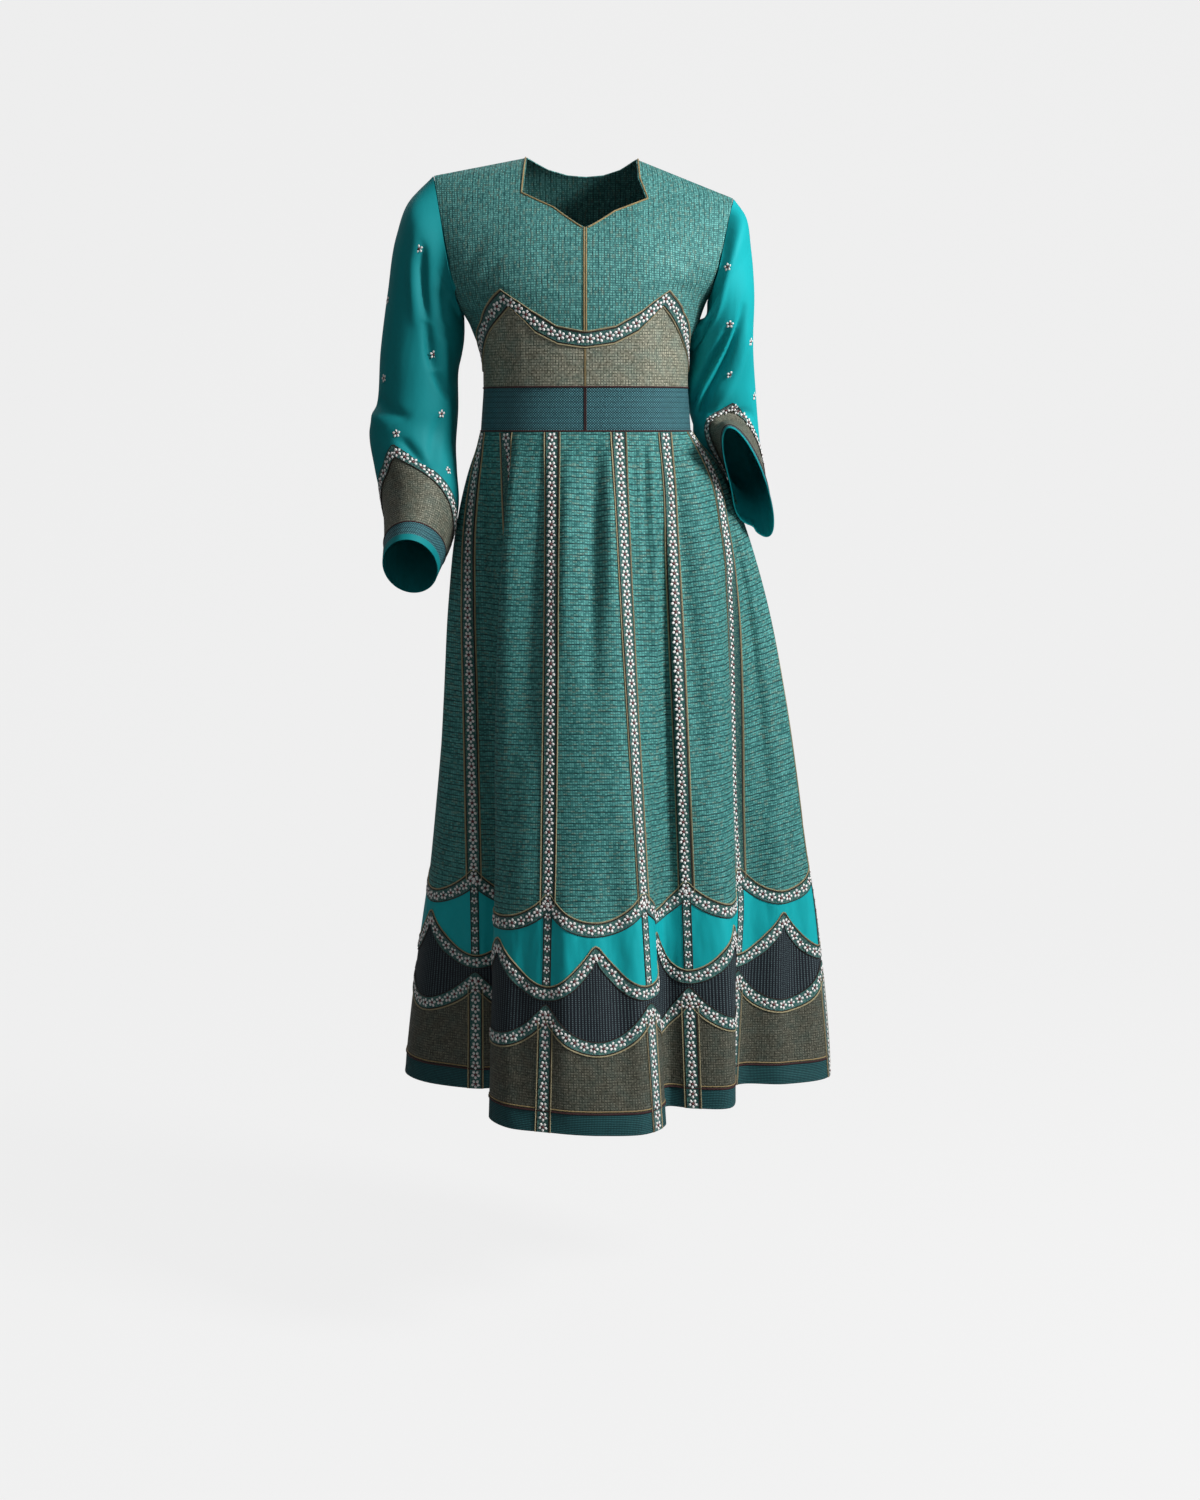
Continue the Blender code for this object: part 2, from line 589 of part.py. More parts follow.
def build_sleeve(name, cloths):
    """Sleeve, pointed olive cuff, dark band, teal edge and cuff ribbon, each a ring."""
    length = sleeve_length(name)
    angle = np.linspace(0.0, 2.0 * np.pi, SLEEVE_COLUMNS + 1)
    turn = np.abs((angle - CUFF_POINT_ANGLE + np.pi) % (2.0 * np.pi) - np.pi) / np.pi
    point = (CUFF_POINT_LOW + (CUFF_POINT_HIGH - CUFF_POINT_LOW)
             * (1.0 - turn) ** CUFF_POINT_CURVE)
    half_height = 0.5 * RIBBON_WIDTH * CUFF_RIBBON_STRETCH
    upper = 1.0 - (point + half_height) / length
    lower = 1.0 - (point - half_height) / length
    start = np.linspace(0.0, 1.0, SLEEVE_ROWS + 1)[:, None] ** SLEEVE_SPREAD
    band = np.ones_like(angle)
    along = np.concatenate([start * (upper - CUFF_LEAD / length), upper[None], lower[None],
                            [band * (1.0 - CUFF_BAND / length)],
                            [band * (1.0 - CUFF_EDGE / length)], [band]])
    grid = sleeve_surface(name, np.broadcast_to(angle, along.shape), along)
    grid[:, -1] = grid[:, 0]
    middle = grid[:, :-1].mean(axis=1, keepdims=True)
    normals = grid_normals(grid, grid - middle)
    top = SLEEVE_ROWS + 1
    pieces = [
        (f"sleeve_{name}", slice(0, top + 2), SATIN_THICK, 0.0, "satin"),
        (f"cuff_point_{name}", slice(top + 1, top + 3), SATIN_THICK, 0.0, "olive"),
        (f"cuff_band_{name}", slice(top + 2, top + 4), SATIN_THICK, 0.0, "waistband"),
        (f"cuff_edge_{name}", slice(top + 3, top + 5), SATIN_THICK, 0.0, "satin"),
        (f"cuff_ribbon_{name}", slice(top, top + 2), RIBBON_THICK, SATIN_THICK + LAID_ON, "ribbon"),
    ]
    for piece, rows, thick, lay, material in pieces:
        cloth_wall(piece, [(grid[rows], normals[rows])], thick, lay, cloths[material])


def scale_row(row, gore):
    """Share of the fall of a scalloped row: its seam value at a gore seam, its middle value in
    the middle of the gore, rounded like fish scales towards whichever is lower."""
    at_seam, at_middle = row
    seamward = 2.0 * np.abs(gore - np.round(gore))
    if at_middle > at_seam:
        return at_seam + (at_middle - at_seam) * (1.0 - seamward ** SCALE_ROUND)
    return at_middle + (at_seam - at_middle) * (1.0 - (1.0 - seamward) ** SCALE_ROUND)


def ribbon_reach(row, gore):
    """Half height of a ribbon along a scalloped row, more where the row is steep."""
    step = 0.01
    rise = (scale_row(row, gore + step) - scale_row(row, gore - step)) / (2.0 * step)
    fall = scale_row(row, gore)
    width = GORE_TOP_WIDTH + (GORE_HEM_WIDTH - GORE_TOP_WIDTH) * fall
    steep = np.clip(np.abs(rise) * (SKIRT_TOP - HEM) / width, 0.0, STEEPEST_RIBBON)
    return 0.5 * RIBBON_WIDTH * np.sqrt(1.0 + steep ** 2) / (SKIRT_TOP - HEM)


def skirt_surface(gore, fall):
    """Point of the skirt at a gore number and a share of the fall. In plan it goes from the
    waistband's rounded section to the hem plan, and stands out by the fullness on the way."""
    angle = gore * 2.0 * np.pi / GORES
    sine, cosine = np.sin(angle), np.cos(angle)
    power = 2.0 / BODY_ROUNDNESS
    depth = np.where(cosine < 0.0, BODY_DEPTH[-1, 2], BODY_DEPTH[-1, 1])
    waist_x = WAISTBAND_LOW_HALF_WIDTH * np.sign(sine) * np.abs(sine) ** power
    waist_y = -depth * np.sign(cosine) * np.abs(cosine) ** power
    plan = np.concatenate([HEM_PLAN[-3:] - [GORES, 0, 0, 0], HEM_PLAN,
                           HEM_PLAN[:3] + [GORES, 0, 0, 0]])
    hem_x, hem_y, late = np.moveaxis(through(plan[:, 0], plan[:, 1:], gore), -1, 0)
    left, right, front, back = np.moveaxis(
        through(SKIRT_FULLNESS[:, 0], SKIRT_FULLNESS[:, 1:], fall), -1, 0)
    sideways = np.where(sine < 0.0, -left, right) * np.abs(sine) ** SIDE_FULLNESS_POWER
    forward = np.where(cosine < 0.0, back, -front) * cosine ** 2
    x = waist_x + (hem_x - waist_x) * fall ** late + sideways
    y = waist_y + (hem_y - waist_y) * fall ** DEPTH_GROWTH + forward
    return np.stack([x, y, SKIRT_TOP + (HEM - SKIRT_TOP) * fall], axis=-1)


def skirt_grid():
    """Points and normals of the whole skirt. Each gore has a narrow column beside each of its
    seams for the ribbon, and rows follow the scallops."""
    def falls(gore):
        rows = [share * (scale_row(SATIN_ROW, gore) - ribbon_reach(SATIN_ROW, gore))
                for share in GORE_ROWS]
        rows.append(scale_row(SATIN_ROW, gore) + ribbon_reach(SATIN_ROW, gore))
        for row in (NAVY_ROW, OLIVE_ROW):
            rows.append(scale_row(row, gore) - ribbon_reach(row, gore))
            rows.append(scale_row(row, gore) + ribbon_reach(row, gore))
        rows.append(np.full_like(gore, BAND_ROW))
        rows.append(np.ones_like(gore))
        return np.array(rows)

    def ribbon_share(seam, side):
        edge = np.full(len(GORE_ROWS) + 7, seam + RIBBON_STEP * side)
        fall = falls(edge)[:, 0]
        reach = skirt_surface(edge, fall) - skirt_surface(edge - RIBBON_STEP * side, fall)
        return RIBBON_STEP * 0.5 * RIBBON_WIDTH / np.linalg.norm(reach, axis=-1)
    columns = []
    for number in range(GORES):
        seam = number - 0.5 * GORES + 0.5
        left = ribbon_share(seam, 1.0)
        right = ribbon_share(seam + 1.0, -1.0)
        columns.append(np.full_like(left, seam))
        for k in range(GORE_CELLS + 1):
            columns.append(seam + left + (1.0 - left - right) * k / GORE_CELLS)
    columns.append(columns[0] + GORES)
    gore = np.stack(columns, axis=1)
    fall = np.stack([falls(gore[row])[row] for row in range(gore.shape[0])])
    grid = skirt_surface(gore, fall)
    grid[:, -1] = grid[:, 0]
    around = np.concatenate([np.sin(gore * 2 * np.pi / GORES)[..., None],
                             -np.cos(gore * 2 * np.pi / GORES)[..., None],
                             np.zeros_like(gore)[..., None]], axis=-1)
    normals = grid_normals(grid, around)
    normals[0, :, 2] = 0.0
    normals[0] = unit(normals[0])
    return grid, normals


def build_skirt(cloths):
    """Gores, seam ribbons, scalloped rows, hem band and the ribbons over the rows."""
    grid, normals = skirt_grid()
    cells = GORE_CELLS + 2
    satin_low = len(GORE_ROWS) - 1
    satin_high, navy_low, navy_high, olive_low, olive_high, band, hem = range(
        satin_low + 1, satin_low + 8)
    on_top = BROCADE_THICK + LAID_ON

    def cut(rows, columns=slice(None)):
        return grid[rows, columns], normals[rows, columns]

    def seam_cut(rows, number):
        first = number * cells
        right = cut(rows, slice(first, first + 2))
        if number == 0:
            return [cut(rows, slice(grid.shape[1] - 2, grid.shape[1])), right]
        return [cut(rows, slice(first - 1, first + 1)), right]
    for number in range(GORES):
        first = number * cells
        gore = cut(slice(0, satin_high + 1), slice(first, first + cells + 1))
        cloth_wall(f"gore_{number + 1:02d}", [gore], BROCADE_THICK, 0.0, cloths["brocade"])
        cloth_wall(f"seam_ribbon_{number + 1:02d}", seam_cut(slice(0, satin_low + 1), number),
                   RIBBON_THICK, on_top, cloths["ribbon"])
    rings = [
        ("satin_scales", satin_high, navy_high, "satin"),
        ("navy_scales", navy_high, olive_high, "navy"),
        ("olive_scales", olive_high, band, "olive"),
        ("hem_band", band, hem, "waistband"),
    ]
    for piece, top, low, material in rings:
        cloth_wall(piece, [cut(slice(top, low + 1))], BROCADE_THICK, 0.0, cloths[material])
    tabs = [seam_cut(slice(satin_high, navy_low + 1), number) for number in range(GORES)]
    ends = [seam_cut(slice(olive_high, hem + 1), number) for number in range(GORES)]
    cloth_wall("satin_ribbon", [cut(slice(satin_low, satin_high + 1))] + sum(tabs, []),
               RIBBON_THICK, on_top, cloths["ribbon"])
    cloth_wall("navy_ribbon", [cut(slice(navy_low, navy_high + 1))], RIBBON_THICK, on_top,
               cloths["ribbon"])
    cloth_wall("olive_ribbon", [cut(slice(olive_low, olive_high + 1))] + sum(ends, []),
               RIBBON_THICK, on_top, cloths["ribbon"])


def main():
    clear_scene()
    cloths = {
        "brocade": cloth("brocade", (0.045, 0.24, 0.21), 0.55, 0.15),
        "satin": cloth("satin", (0.0, 0.29, 0.29), 0.42),
        "olive": cloth("olive", (0.11, 0.11, 0.065), 0.55, 0.3),
        "waistband": cloth("waistband", (0.02, 0.085, 0.11), 0.55, 0.1),
        "navy": cloth("navy", (0.012, 0.022, 0.035), 0.6, 0.1),
        "ribbon": cloth("ribbon", (0.42, 0.44, 0.36), 0.6),
        "piping": cloth("piping", (0.16, 0.09, 0.03), 0.5, 0.4),
    }
    build_bodice(cloths)
    for name in SLEEVE_RINGS:
        build_sleeve(name, cloths)
    build_skirt(cloths)


main()
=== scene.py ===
"""Looks of a long Afghan dress: brocade bodice, satin sleeves, gored skirt, fish scale hem rows.

Metres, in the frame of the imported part: +Z up, the front faces -Y, +X is on the viewer's right.
"""

import bpy
import numpy as np
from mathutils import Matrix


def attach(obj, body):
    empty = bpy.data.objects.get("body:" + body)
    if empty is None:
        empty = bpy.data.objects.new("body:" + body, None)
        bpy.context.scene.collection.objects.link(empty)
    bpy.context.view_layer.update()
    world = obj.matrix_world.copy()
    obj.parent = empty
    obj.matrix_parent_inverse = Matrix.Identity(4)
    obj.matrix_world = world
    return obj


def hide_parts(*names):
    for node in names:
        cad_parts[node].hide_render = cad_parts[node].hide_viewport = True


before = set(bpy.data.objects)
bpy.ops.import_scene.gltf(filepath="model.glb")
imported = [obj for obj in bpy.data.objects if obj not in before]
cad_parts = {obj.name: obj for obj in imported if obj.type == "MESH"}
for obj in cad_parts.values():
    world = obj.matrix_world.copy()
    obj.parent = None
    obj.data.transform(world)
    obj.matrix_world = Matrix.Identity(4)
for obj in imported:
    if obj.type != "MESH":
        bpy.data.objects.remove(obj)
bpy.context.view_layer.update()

# Bodice: two brocade yoke fronts that part at the centre, olive midriffs under a scalloped seam,
# a plain brocade back and a waistband of a fine weave. The fronts and back are cut to one rounded
# body section, sewn at the shoulders and sides, and laid over with creases.
HALVES = {
    "left": dict(side=-1, neck=(0.0722, -0.0027), corner=(0.0759, -0.0499),
                 curve=(0.0364, -0.0690), tip=(0.1880, -0.0246), underarm=-0.1966),
    "right": dict(side=1, neck=(0.0625, -0.0046), corner=(0.0741, -0.0570),
                  curve=(0.0337, -0.0738), tip=(0.1831, -0.0520), underarm=-0.1780),
}
BROCADE_THICK = 0.0014
WAISTBAND_LOW = -0.3370
WAISTBAND_TOP = -0.2835
WAIST_HALF_WIDTH = 0.1272
WAISTBAND_LOW_HALF_WIDTH = 0.1313
BODY_ROUNDNESS = 2.3
NECK_NOTCH = -0.0945
BACK_NECK = -0.0220
SIDE_FLARE = np.array([
    # above the underarm, flare
    (-0.090, 0.0000), (-0.043, 0.0033), (-0.021, 0.0118), (0.000, 0.0213),
    (0.027, 0.0450), (0.057, 0.0630), (0.100, 0.0730), (0.200, 0.0780),
])
BODY_DEPTH = np.array([
    # drop below the shoulder line, front, back
    (0.0000, 0.0000, 0.0000), (0.0060, 0.0120, 0.0120), (0.0150, 0.0240, 0.0240),
    (0.0300, 0.0380, 0.0380), (0.0500, 0.0550, 0.0530), (0.0750, 0.0740, 0.0680),
    (0.1000, 0.0920, 0.0790), (0.1300, 0.1050, 0.0880), (0.1700, 0.1120, 0.0950),
    (0.2000, 0.1120, 0.0955), (0.2400, 0.1060, 0.0920), (0.2835, 0.0975, 0.0870),
    (0.3370, 0.0940, 0.0850),
])
SCALLOP_CENTRE = -0.2272
SCALLOP_PEAK = (0.0974, -0.1780)
SCALLOP_SIDE = -0.2520
SCALLOP_ROUND = 2.1
RIBBON_WIDTH = 0.0156
PIPING_WIDTH = 0.0026
ARMHOLE_POWER = 0.9
ARMHOLE_SHARES = (0.410, 0.270, 0.160, 0.070)
PAST_TIP = 1.2
NOTCH_POWER = 1.5
NECK_BOW = 0.002
BACK_NECK_POWER = 2.2
BACK_BLEND = 0.07
CENTRE_TO_SIDE = 0.2
SIDE_RIBBON_REACH = 0.55
LEAST_DEPTH = 0.0015
SLOPE_STEP = 0.0006
# Rows of the front's table: the ribbon's lower and upper edge, the underarm, and the notch
RIBBON_ROWS = (2, 3)
UNDERARM_ROW = 4
NOTCH_ROW = 7
BACK_NECK_COLUMNS = 3
FINE = 5
FRONT_CREASES = [
    # start x, z, end x, z, width, height
    (-0.148, -0.196, -0.098, -0.170, 0.007, -0.0035),
    (-0.146, -0.180, -0.104, -0.135, 0.008, -0.0030),
    (-0.152, -0.150, -0.120, -0.105, 0.009, -0.0022),
    (-0.140, -0.205, -0.112, -0.200, 0.006, -0.0025),
    (0.146, -0.182, 0.140, -0.226, 0.013, 0.0032),
    (0.140, -0.178, 0.096, -0.160, 0.008, -0.0038),
    (0.146, -0.160, 0.108, -0.120, 0.009, -0.0030),
    (0.150, -0.135, 0.128, -0.090, 0.009, -0.0022),
    (0.136, -0.190, 0.108, -0.196, 0.006, -0.0025),
    (-0.098, -0.172, -0.104, -0.275, 0.008, -0.0024),
    (-0.078, -0.205, -0.080, -0.280, 0.007, 0.0018),
    (0.092, -0.180, 0.100, -0.275, 0.008, -0.0022),
    (0.066, -0.215, 0.070, -0.280, 0.008, 0.0016),
    (-0.060, -0.110, -0.020, -0.180, 0.014, -0.0012),
    (0.060, -0.115, 0.024, -0.185, 0.014, -0.0012),
    (-0.150, -0.060, -0.100, -0.045, 0.010, 0.0010),
]
BACK_CREASES = [
    # start x, z, end x, z, width, height
    (-0.140, -0.190, -0.080, -0.150, 0.010, -0.0030),
    (0.136, -0.175, 0.076, -0.140, 0.010, -0.0030),
    (-0.110, -0.235, -0.040, -0.255, 0.009, -0.0024),
    (0.106, -0.230, 0.034, -0.258, 0.009, -0.0026),
    (-0.020, -0.070, -0.024, -0.190, 0.012, -0.0012),
    (0.052, -0.120, 0.040, -0.215, 0.012, 0.0014),
    (-0.100, -0.262, -0.020, -0.272, 0.006, 0.0016),
]


def through(knots, values, at):
    """Smooth curve through the rows of a table: between two rows it is the cubic whose slopes at
    the rows are the mean slopes of their neighbours."""
    slopes = np.gradient(values, knots, axis=0)
    low = np.clip(np.searchsorted(knots, at, side="right") - 1, 0, len(knots) - 2)
    span = knots[low + 1] - knots[low]
    share = (at - knots[low]) / span
    if values.ndim > 1:
        share = share[..., None]
        span = span[..., None]
    rest = 1.0 - share
    return (values[low] * (1.0 + 2.0 * share) * rest ** 2
            + slopes[low] * span * share * rest ** 2
            + values[low + 1] * share ** 2 * (3.0 - 2.0 * share)
            - slopes[low + 1] * span * share ** 2 * rest)


def unit(vectors):
    """Vectors divided by their lengths."""
    return vectors / np.maximum(np.linalg.norm(vectors, axis=-1, keepdims=True), 1e-12)


def creases(u, v, table):
    """Height of soft ridges and troughs: each runs straight from its start to its end, is a bell
    curve of its width across, and fades as a root of a sine towards its ends."""
    height = np.zeros(np.broadcast(u, v).shape)
    for start_u, start_v, end_u, end_v, width, rise in table:
        run_u, run_v = end_u - start_u, end_v - start_v
        share = ((u - start_u) * run_u + (v - start_v) * run_v) / (run_u ** 2 + run_v ** 2)
        near = np.clip(share, 0.0, 1.0)
        away = np.hypot(u - start_u - near * run_u, v - start_v - near * run_v)
        fade = np.sqrt(np.sin(np.pi * np.clip(near, 0.004, 0.996)))
        height += rise * fade * np.exp(-(away / width) ** 2)
    return height


def shoulder_height(half, x):
    """Height of the shoulder line over x: straight from the neck point to the tip."""
    neck_x, neck_z = half["neck"]
    tip_x, tip_z = half["tip"]
    share = np.clip((np.abs(x) - neck_x) / (tip_x - neck_x), 0.0, PAST_TIP)
    return neck_z + (tip_z - neck_z) * share


def body_half_width(half, z):
    """Half width of the body at height z: waist width plus the flare by height."""
    band = np.clip((WAISTBAND_TOP - z) / (WAISTBAND_TOP - WAISTBAND_LOW), 0.0, 1.0)
    above = np.clip(z - half["underarm"], SIDE_FLARE[0, 0], SIDE_FLARE[-1, 0])
    flare = through(SIDE_FLARE[:, 0], SIDE_FLARE[:, 1], above)
    return WAIST_HALF_WIDTH + (WAISTBAND_LOW_HALF_WIDTH - WAIST_HALF_WIDTH) * band + flare


def body_depth(half, x, z, column):
    """Depth of the front (column 1) or back (column 2): a curve of the drop below the shoulder."""
    top = shoulder_height(half, x)
    drop = (top - z) * WAISTBAND_LOW / (WAISTBAND_LOW - top)
    return through(BODY_DEPTH[:, 0], BODY_DEPTH[:, column], np.clip(drop, 0.0, BODY_DEPTH[-1, 0]))


def body_angle(half, x, z):
    """Angle round the rounded section at which it lies at x."""
    ratio = np.clip(np.abs(x) / body_half_width(half, z), 0.0, 1.0)
    return np.arcsin(ratio ** (BODY_ROUNDNESS / 2.0))


def body_surface(half, angle, z, column):
    """Point of the body: width times a power of the sine, depth times a power of the cosine."""
    power = 2.0 / BODY_ROUNDNESS
    x = body_half_width(half, z) * np.sin(angle) ** power
    facing = -1.0 if column == 1 else 1.0
    y = facing * body_depth(half, x, z, column) * np.abs(np.cos(angle)) ** power
    return np.stack([half["side"] * x, y, z + 0.0 * x], axis=-1)


def body_cloth(half, angle, z, column):
    """Points and outward normals of the bodice with its creases. The normal is the slope of
    |x/width|^n + |y/depth|^n, by differences."""
    points = body_surface(half, angle, z, column)

    def level(shift):
        x, y, height = np.moveaxis(points + shift, -1, 0)
        depth = np.maximum(body_depth(half, x, height, column), LEAST_DEPTH)
        return (np.abs(x / body_half_width(half, height)) ** BODY_ROUNDNESS
                + np.abs(y / depth) ** BODY_ROUNDNESS)
    steps = SLOPE_STEP * np.eye(3)
    normals = unit(np.stack([level(step) - level(-step) for step in steps], axis=-1))
    table = FRONT_CREASES if column == 1 else BACK_CREASES
    height = creases(points[..., 0], points[..., 2], table)
    return points + normals * height[..., None], normals


def shoulder_normal(half):
    """Direction straight up from the shoulder seam."""
    neck_x, neck_z = half["neck"]
    tip_x, tip_z = half["tip"]
    return unit(np.array([half["side"] * (neck_z - tip_z), 0.0, tip_x - neck_x]))


def armhole_x(half, z):
    """Half width of the armhole's edge at height z, a power curve from underarm to tip."""
    tip_x, tip_z = half["tip"]
    share = np.clip((z - half["underarm"]) / (tip_z - half["underarm"]), 0.0, 1.0)
    under_x = body_half_width(half, half["underarm"])
    return under_x + (tip_x - under_x) * share ** ARMHOLE_POWER


def side_rows(half):
    """Heights at which the rows of the bodice meet the side seam, and then the armhole."""
    tip_z, low = half["tip"][1], half["underarm"]
    armhole = [tip_z - share * (tip_z - low) for share in ARMHOLE_SHARES]
    between = [low + (armhole[0] - low) * k / 3.0 for k in (1, 2)]
    ribbon = RIBBON_WIDTH * SIDE_RIBBON_REACH
    return ([WAISTBAND_LOW, WAISTBAND_TOP, SCALLOP_SIDE - ribbon, SCALLOP_SIDE + ribbon, low]
            + between + armhole + [tip_z])


def front_table(half):
    """Angle and height of each row and column of one front, from waistband to shoulder and from
    the centre to the side. The scallop rises to its peak as a power of the share across."""
    side_z = side_rows(half)
    peak_x, peak_z = SCALLOP_PEAK
    neck = half["neck"]
    neck_edge = [(0.0, NECK_NOTCH), half["curve"], half["corner"],
                 (neck[0] + NECK_BOW, 0.5 * (half["corner"][1] + neck[1])), neck]
    peak = body_angle(half, peak_x, peak_z) / (0.5 * np.pi)
    first = body_angle(half, PIPING_WIDTH, SCALLOP_CENTRE) / (0.5 * np.pi)
    inner = first + (peak - first) * np.arange(4) / 3.0
    share = np.concatenate([[0.0], inner, peak + (1.0 - peak) * np.arange(1, 5) / 4.0])
    scallop = SCALLOP_CENTRE + (peak_z - SCALLOP_CENTRE) * (share / peak) ** SCALLOP_ROUND
    down = peak_z + (SCALLOP_SIDE - peak_z) * (share - peak) / (1.0 - peak)
    scallop = np.where(share <= peak, scallop, down)
    steep = np.clip(np.abs(np.gradient(scallop, share * CENTRE_TO_SIDE)), 0.0, 1.0)
    reach = 0.5 * RIBBON_WIDTH * np.sqrt(1.0 + steep ** 2)
    low_edge, high_edge = scallop - reach, scallop + reach
    low_z, high_z = side_z[RIBBON_ROWS[0]], side_z[RIBBON_ROWS[1]]
    low_edge[-1], high_edge[-1] = low_z, high_z
    notch = NECK_NOTCH + (side_z[NOTCH_ROW] - NECK_NOTCH) * share ** NOTCH_POWER
    angles, heights = [], []
    for row, z_side in enumerate(side_z):
        start_x, end = 0.0, 0.5 * np.pi
        if row < RIBBON_ROWS[0]:
            z = np.full(len(share), z_side)
        elif row in RIBBON_ROWS:
            z = low_edge if row == RIBBON_ROWS[0] else high_edge
        elif row < NOTCH_ROW:
            z = high_edge + (notch - high_edge) * (z_side - high_z) / (side_z[NOTCH_ROW] - high_z)
        else:
            start_x, start_z = neck_edge[row - NOTCH_ROW]
            z = notch if row == NOTCH_ROW else start_z + (z_side - start_z) * share
        start = body_angle(half, start_x, z[0])
        if row > UNDERARM_ROW:
            end = body_angle(half, armhole_x(half, z[-1]), z[-1])
        angle = start + (end - start) * share
        if row == len(side_z) - 1:
            x = start_x + (half["tip"][0] - start_x) * share
            z = shoulder_height(half, x)
            angle = body_angle(half, x, z)
        angles.append(angle)
        heights.append(z)
    return np.array(angles), np.array(heights)


def refined(table, times):
    """A table with straight steps put in between its rows and between its columns."""
    for axis in (0, 1):
        count = table.shape[axis]
        at = np.linspace(0.0, count - 1.0, (count - 1) * times + 1)
        low = np.minimum(at.astype(int), count - 2)
        share = (at - low).reshape((-1, 1) if axis == 0 else (1, -1))
        table = np.take(table, low, axis) * (1.0 - share) + np.take(table, low + 1, axis) * share
    return table


def fine_front(half, times):
    """Angles and heights of one front, with straight steps put in between rows and columns."""
    return [refined(table, times) for table in front_table(half)]


def way(surface, start, end, steps=8):
    """Length of the way over a surface while its two parameters go straight from start to end."""
    points = np.stack([surface(*[a + (b - a) * k / steps for a, b in zip(start, end)])
                       for k in range(steps + 1)])
    return np.linalg.norm(np.diff(points, axis=0), axis=-1).sum(axis=0)


def body_weave(half, angle, z, column):
    """Weave coordinates of the bodice: the way round the body from its centre line, and the way
    up from the lower edge of the waistband."""
    def surface(at_angle, at_z):
        return body_surface(half, at_angle, at_z, column)
    u = half["side"] * way(surface, (0.0 * angle, z), (angle, z))
    v = way(surface, (angle, 0.0 * z + WAISTBAND_LOW), (angle, z))
    return np.stack([u, v], axis=-1)


def placed(name, data):
    """Object at the origin that holds a finished mesh, a light or the camera."""
    piece = bpy.data.objects.new(name, data)
    bpy.context.collection.objects.link(piece)
    return piece


def make_cloth(name, points, normals, uv, thick, lay=0.0, around=False):
    """Closed wall over a grid: its outer face lies lay + thick along the normals, its inner face
    at lay, and its edges are joined. A wall that goes around repeats its first column as last."""
    rows, columns = points.shape[:2]
    used = columns - 1 if around else columns
    index = (np.arange(rows)[:, None] * used + np.arange(columns)[None] % used)
    rise = np.broadcast_to(np.asarray(lay + thick, float), points.shape[:2])[..., None]
    base = np.broadcast_to(np.asarray(lay, float), points.shape[:2])[..., None]
    outer = (points + normals * rise)[:, :used].reshape(-1, 3)
    inner = (points + normals * base)[:, :used].reshape(-1, 3)
    quads = np.stack([index[:-1, :-1], index[:-1, 1:], index[1:, 1:], index[1:, :-1]], axis=-1)
    coords = np.stack([uv[:-1, :-1], uv[:-1, 1:], uv[1:, 1:], uv[1:, :-1]], axis=-2)
    middle = rows // 2, columns // 2
    across = points[middle[0], middle[1]] - points[middle[0], middle[1] - 1]
    down = points[middle[0], middle[1]] - points[middle[0] - 1, middle[1]]
    quads, coords = quads.reshape(-1, 4), coords.reshape(-1, 4, 2)
    if np.dot(np.cross(across, down), normals[middle]) < 0.0:
        quads, coords = quads[:, ::-1], coords[:, ::-1]
    count = len(outer)
    edges = np.concatenate([np.stack([quads[:, k], quads[:, (k + 1) % 4]], -1) for k in range(4)])
    edge_uv = np.concatenate([np.stack([coords[:, k], coords[:, (k + 1) % 4]], 1)
                              for k in range(4)])
    twins = np.isin(edges[:, 0] * count + edges[:, 1], edges[:, 1] * count + edges[:, 0])
    border, border_uv = edges[~twins], edge_uv[~twins]
    rim = np.stack([border[:, 1], border[:, 0], border[:, 0] + count, border[:, 1] + count], -1)
    rim_uv = border_uv[:, [1, 0, 0, 1]]
    faces = np.concatenate([quads, quads[:, ::-1] + count, rim])
    corners = np.concatenate([coords, coords[:, ::-1], rim_uv])
    mesh = bpy.data.meshes.new(name)
    mesh.from_pydata(np.concatenate([outer, inner]).tolist(), [], faces.tolist())
    mesh.uv_layers.new(name="weave").data.foreach_set("uv", corners.ravel())
    mesh.shade_smooth()
    mesh.set_sharp_from_angle(angle=np.radians(60.0))
    piece = placed(name, mesh)
    piece["inner_start"] = len(quads)
    return piece


def socket_math(tree, operation, *values):
    """Output of a math node on sockets or numbers."""
    node = tree.nodes.new("ShaderNodeMath")
    node.operation = operation
    for socket, value in zip(node.inputs, values):
        if isinstance(value, bpy.types.NodeSocket):
            tree.links.new(value, socket)
        else:
            socket.default_value = value
    return node.outputs[0]


def stripes(tree, along, pitch, width, soft=0.35):
    """Mask that is 1 on a line of the given width once every pitch, with soft edges."""
    turns = socket_math(tree, "FRACT", socket_math(tree, "DIVIDE", along, pitch))
    away = socket_math(tree, "ABSOLUTE", socket_math(tree, "SUBTRACT", turns, 0.5))
    node = tree.nodes.new("ShaderNodeMapRange")
    node.interpolation_type = "SMOOTHSTEP"
    half = 0.5 * width / pitch
    tree.links.new(away, node.inputs["Value"])
    node.inputs["From Min"].default_value = half * (1.0 + soft)
    node.inputs["From Max"].default_value = half * (1.0 - soft)
    return node.outputs["Result"]


def between(tree, value, low, high):
    """Mask that rises smoothly from 0 at low to 1 at high."""
    node = tree.nodes.new("ShaderNodeMapRange")
    node.interpolation_type = "SMOOTHSTEP"
    tree.links.new(value, node.inputs["Value"])
    node.inputs["From Min"].default_value = low
    node.inputs["From Max"].default_value = high
    return node.outputs["Result"]


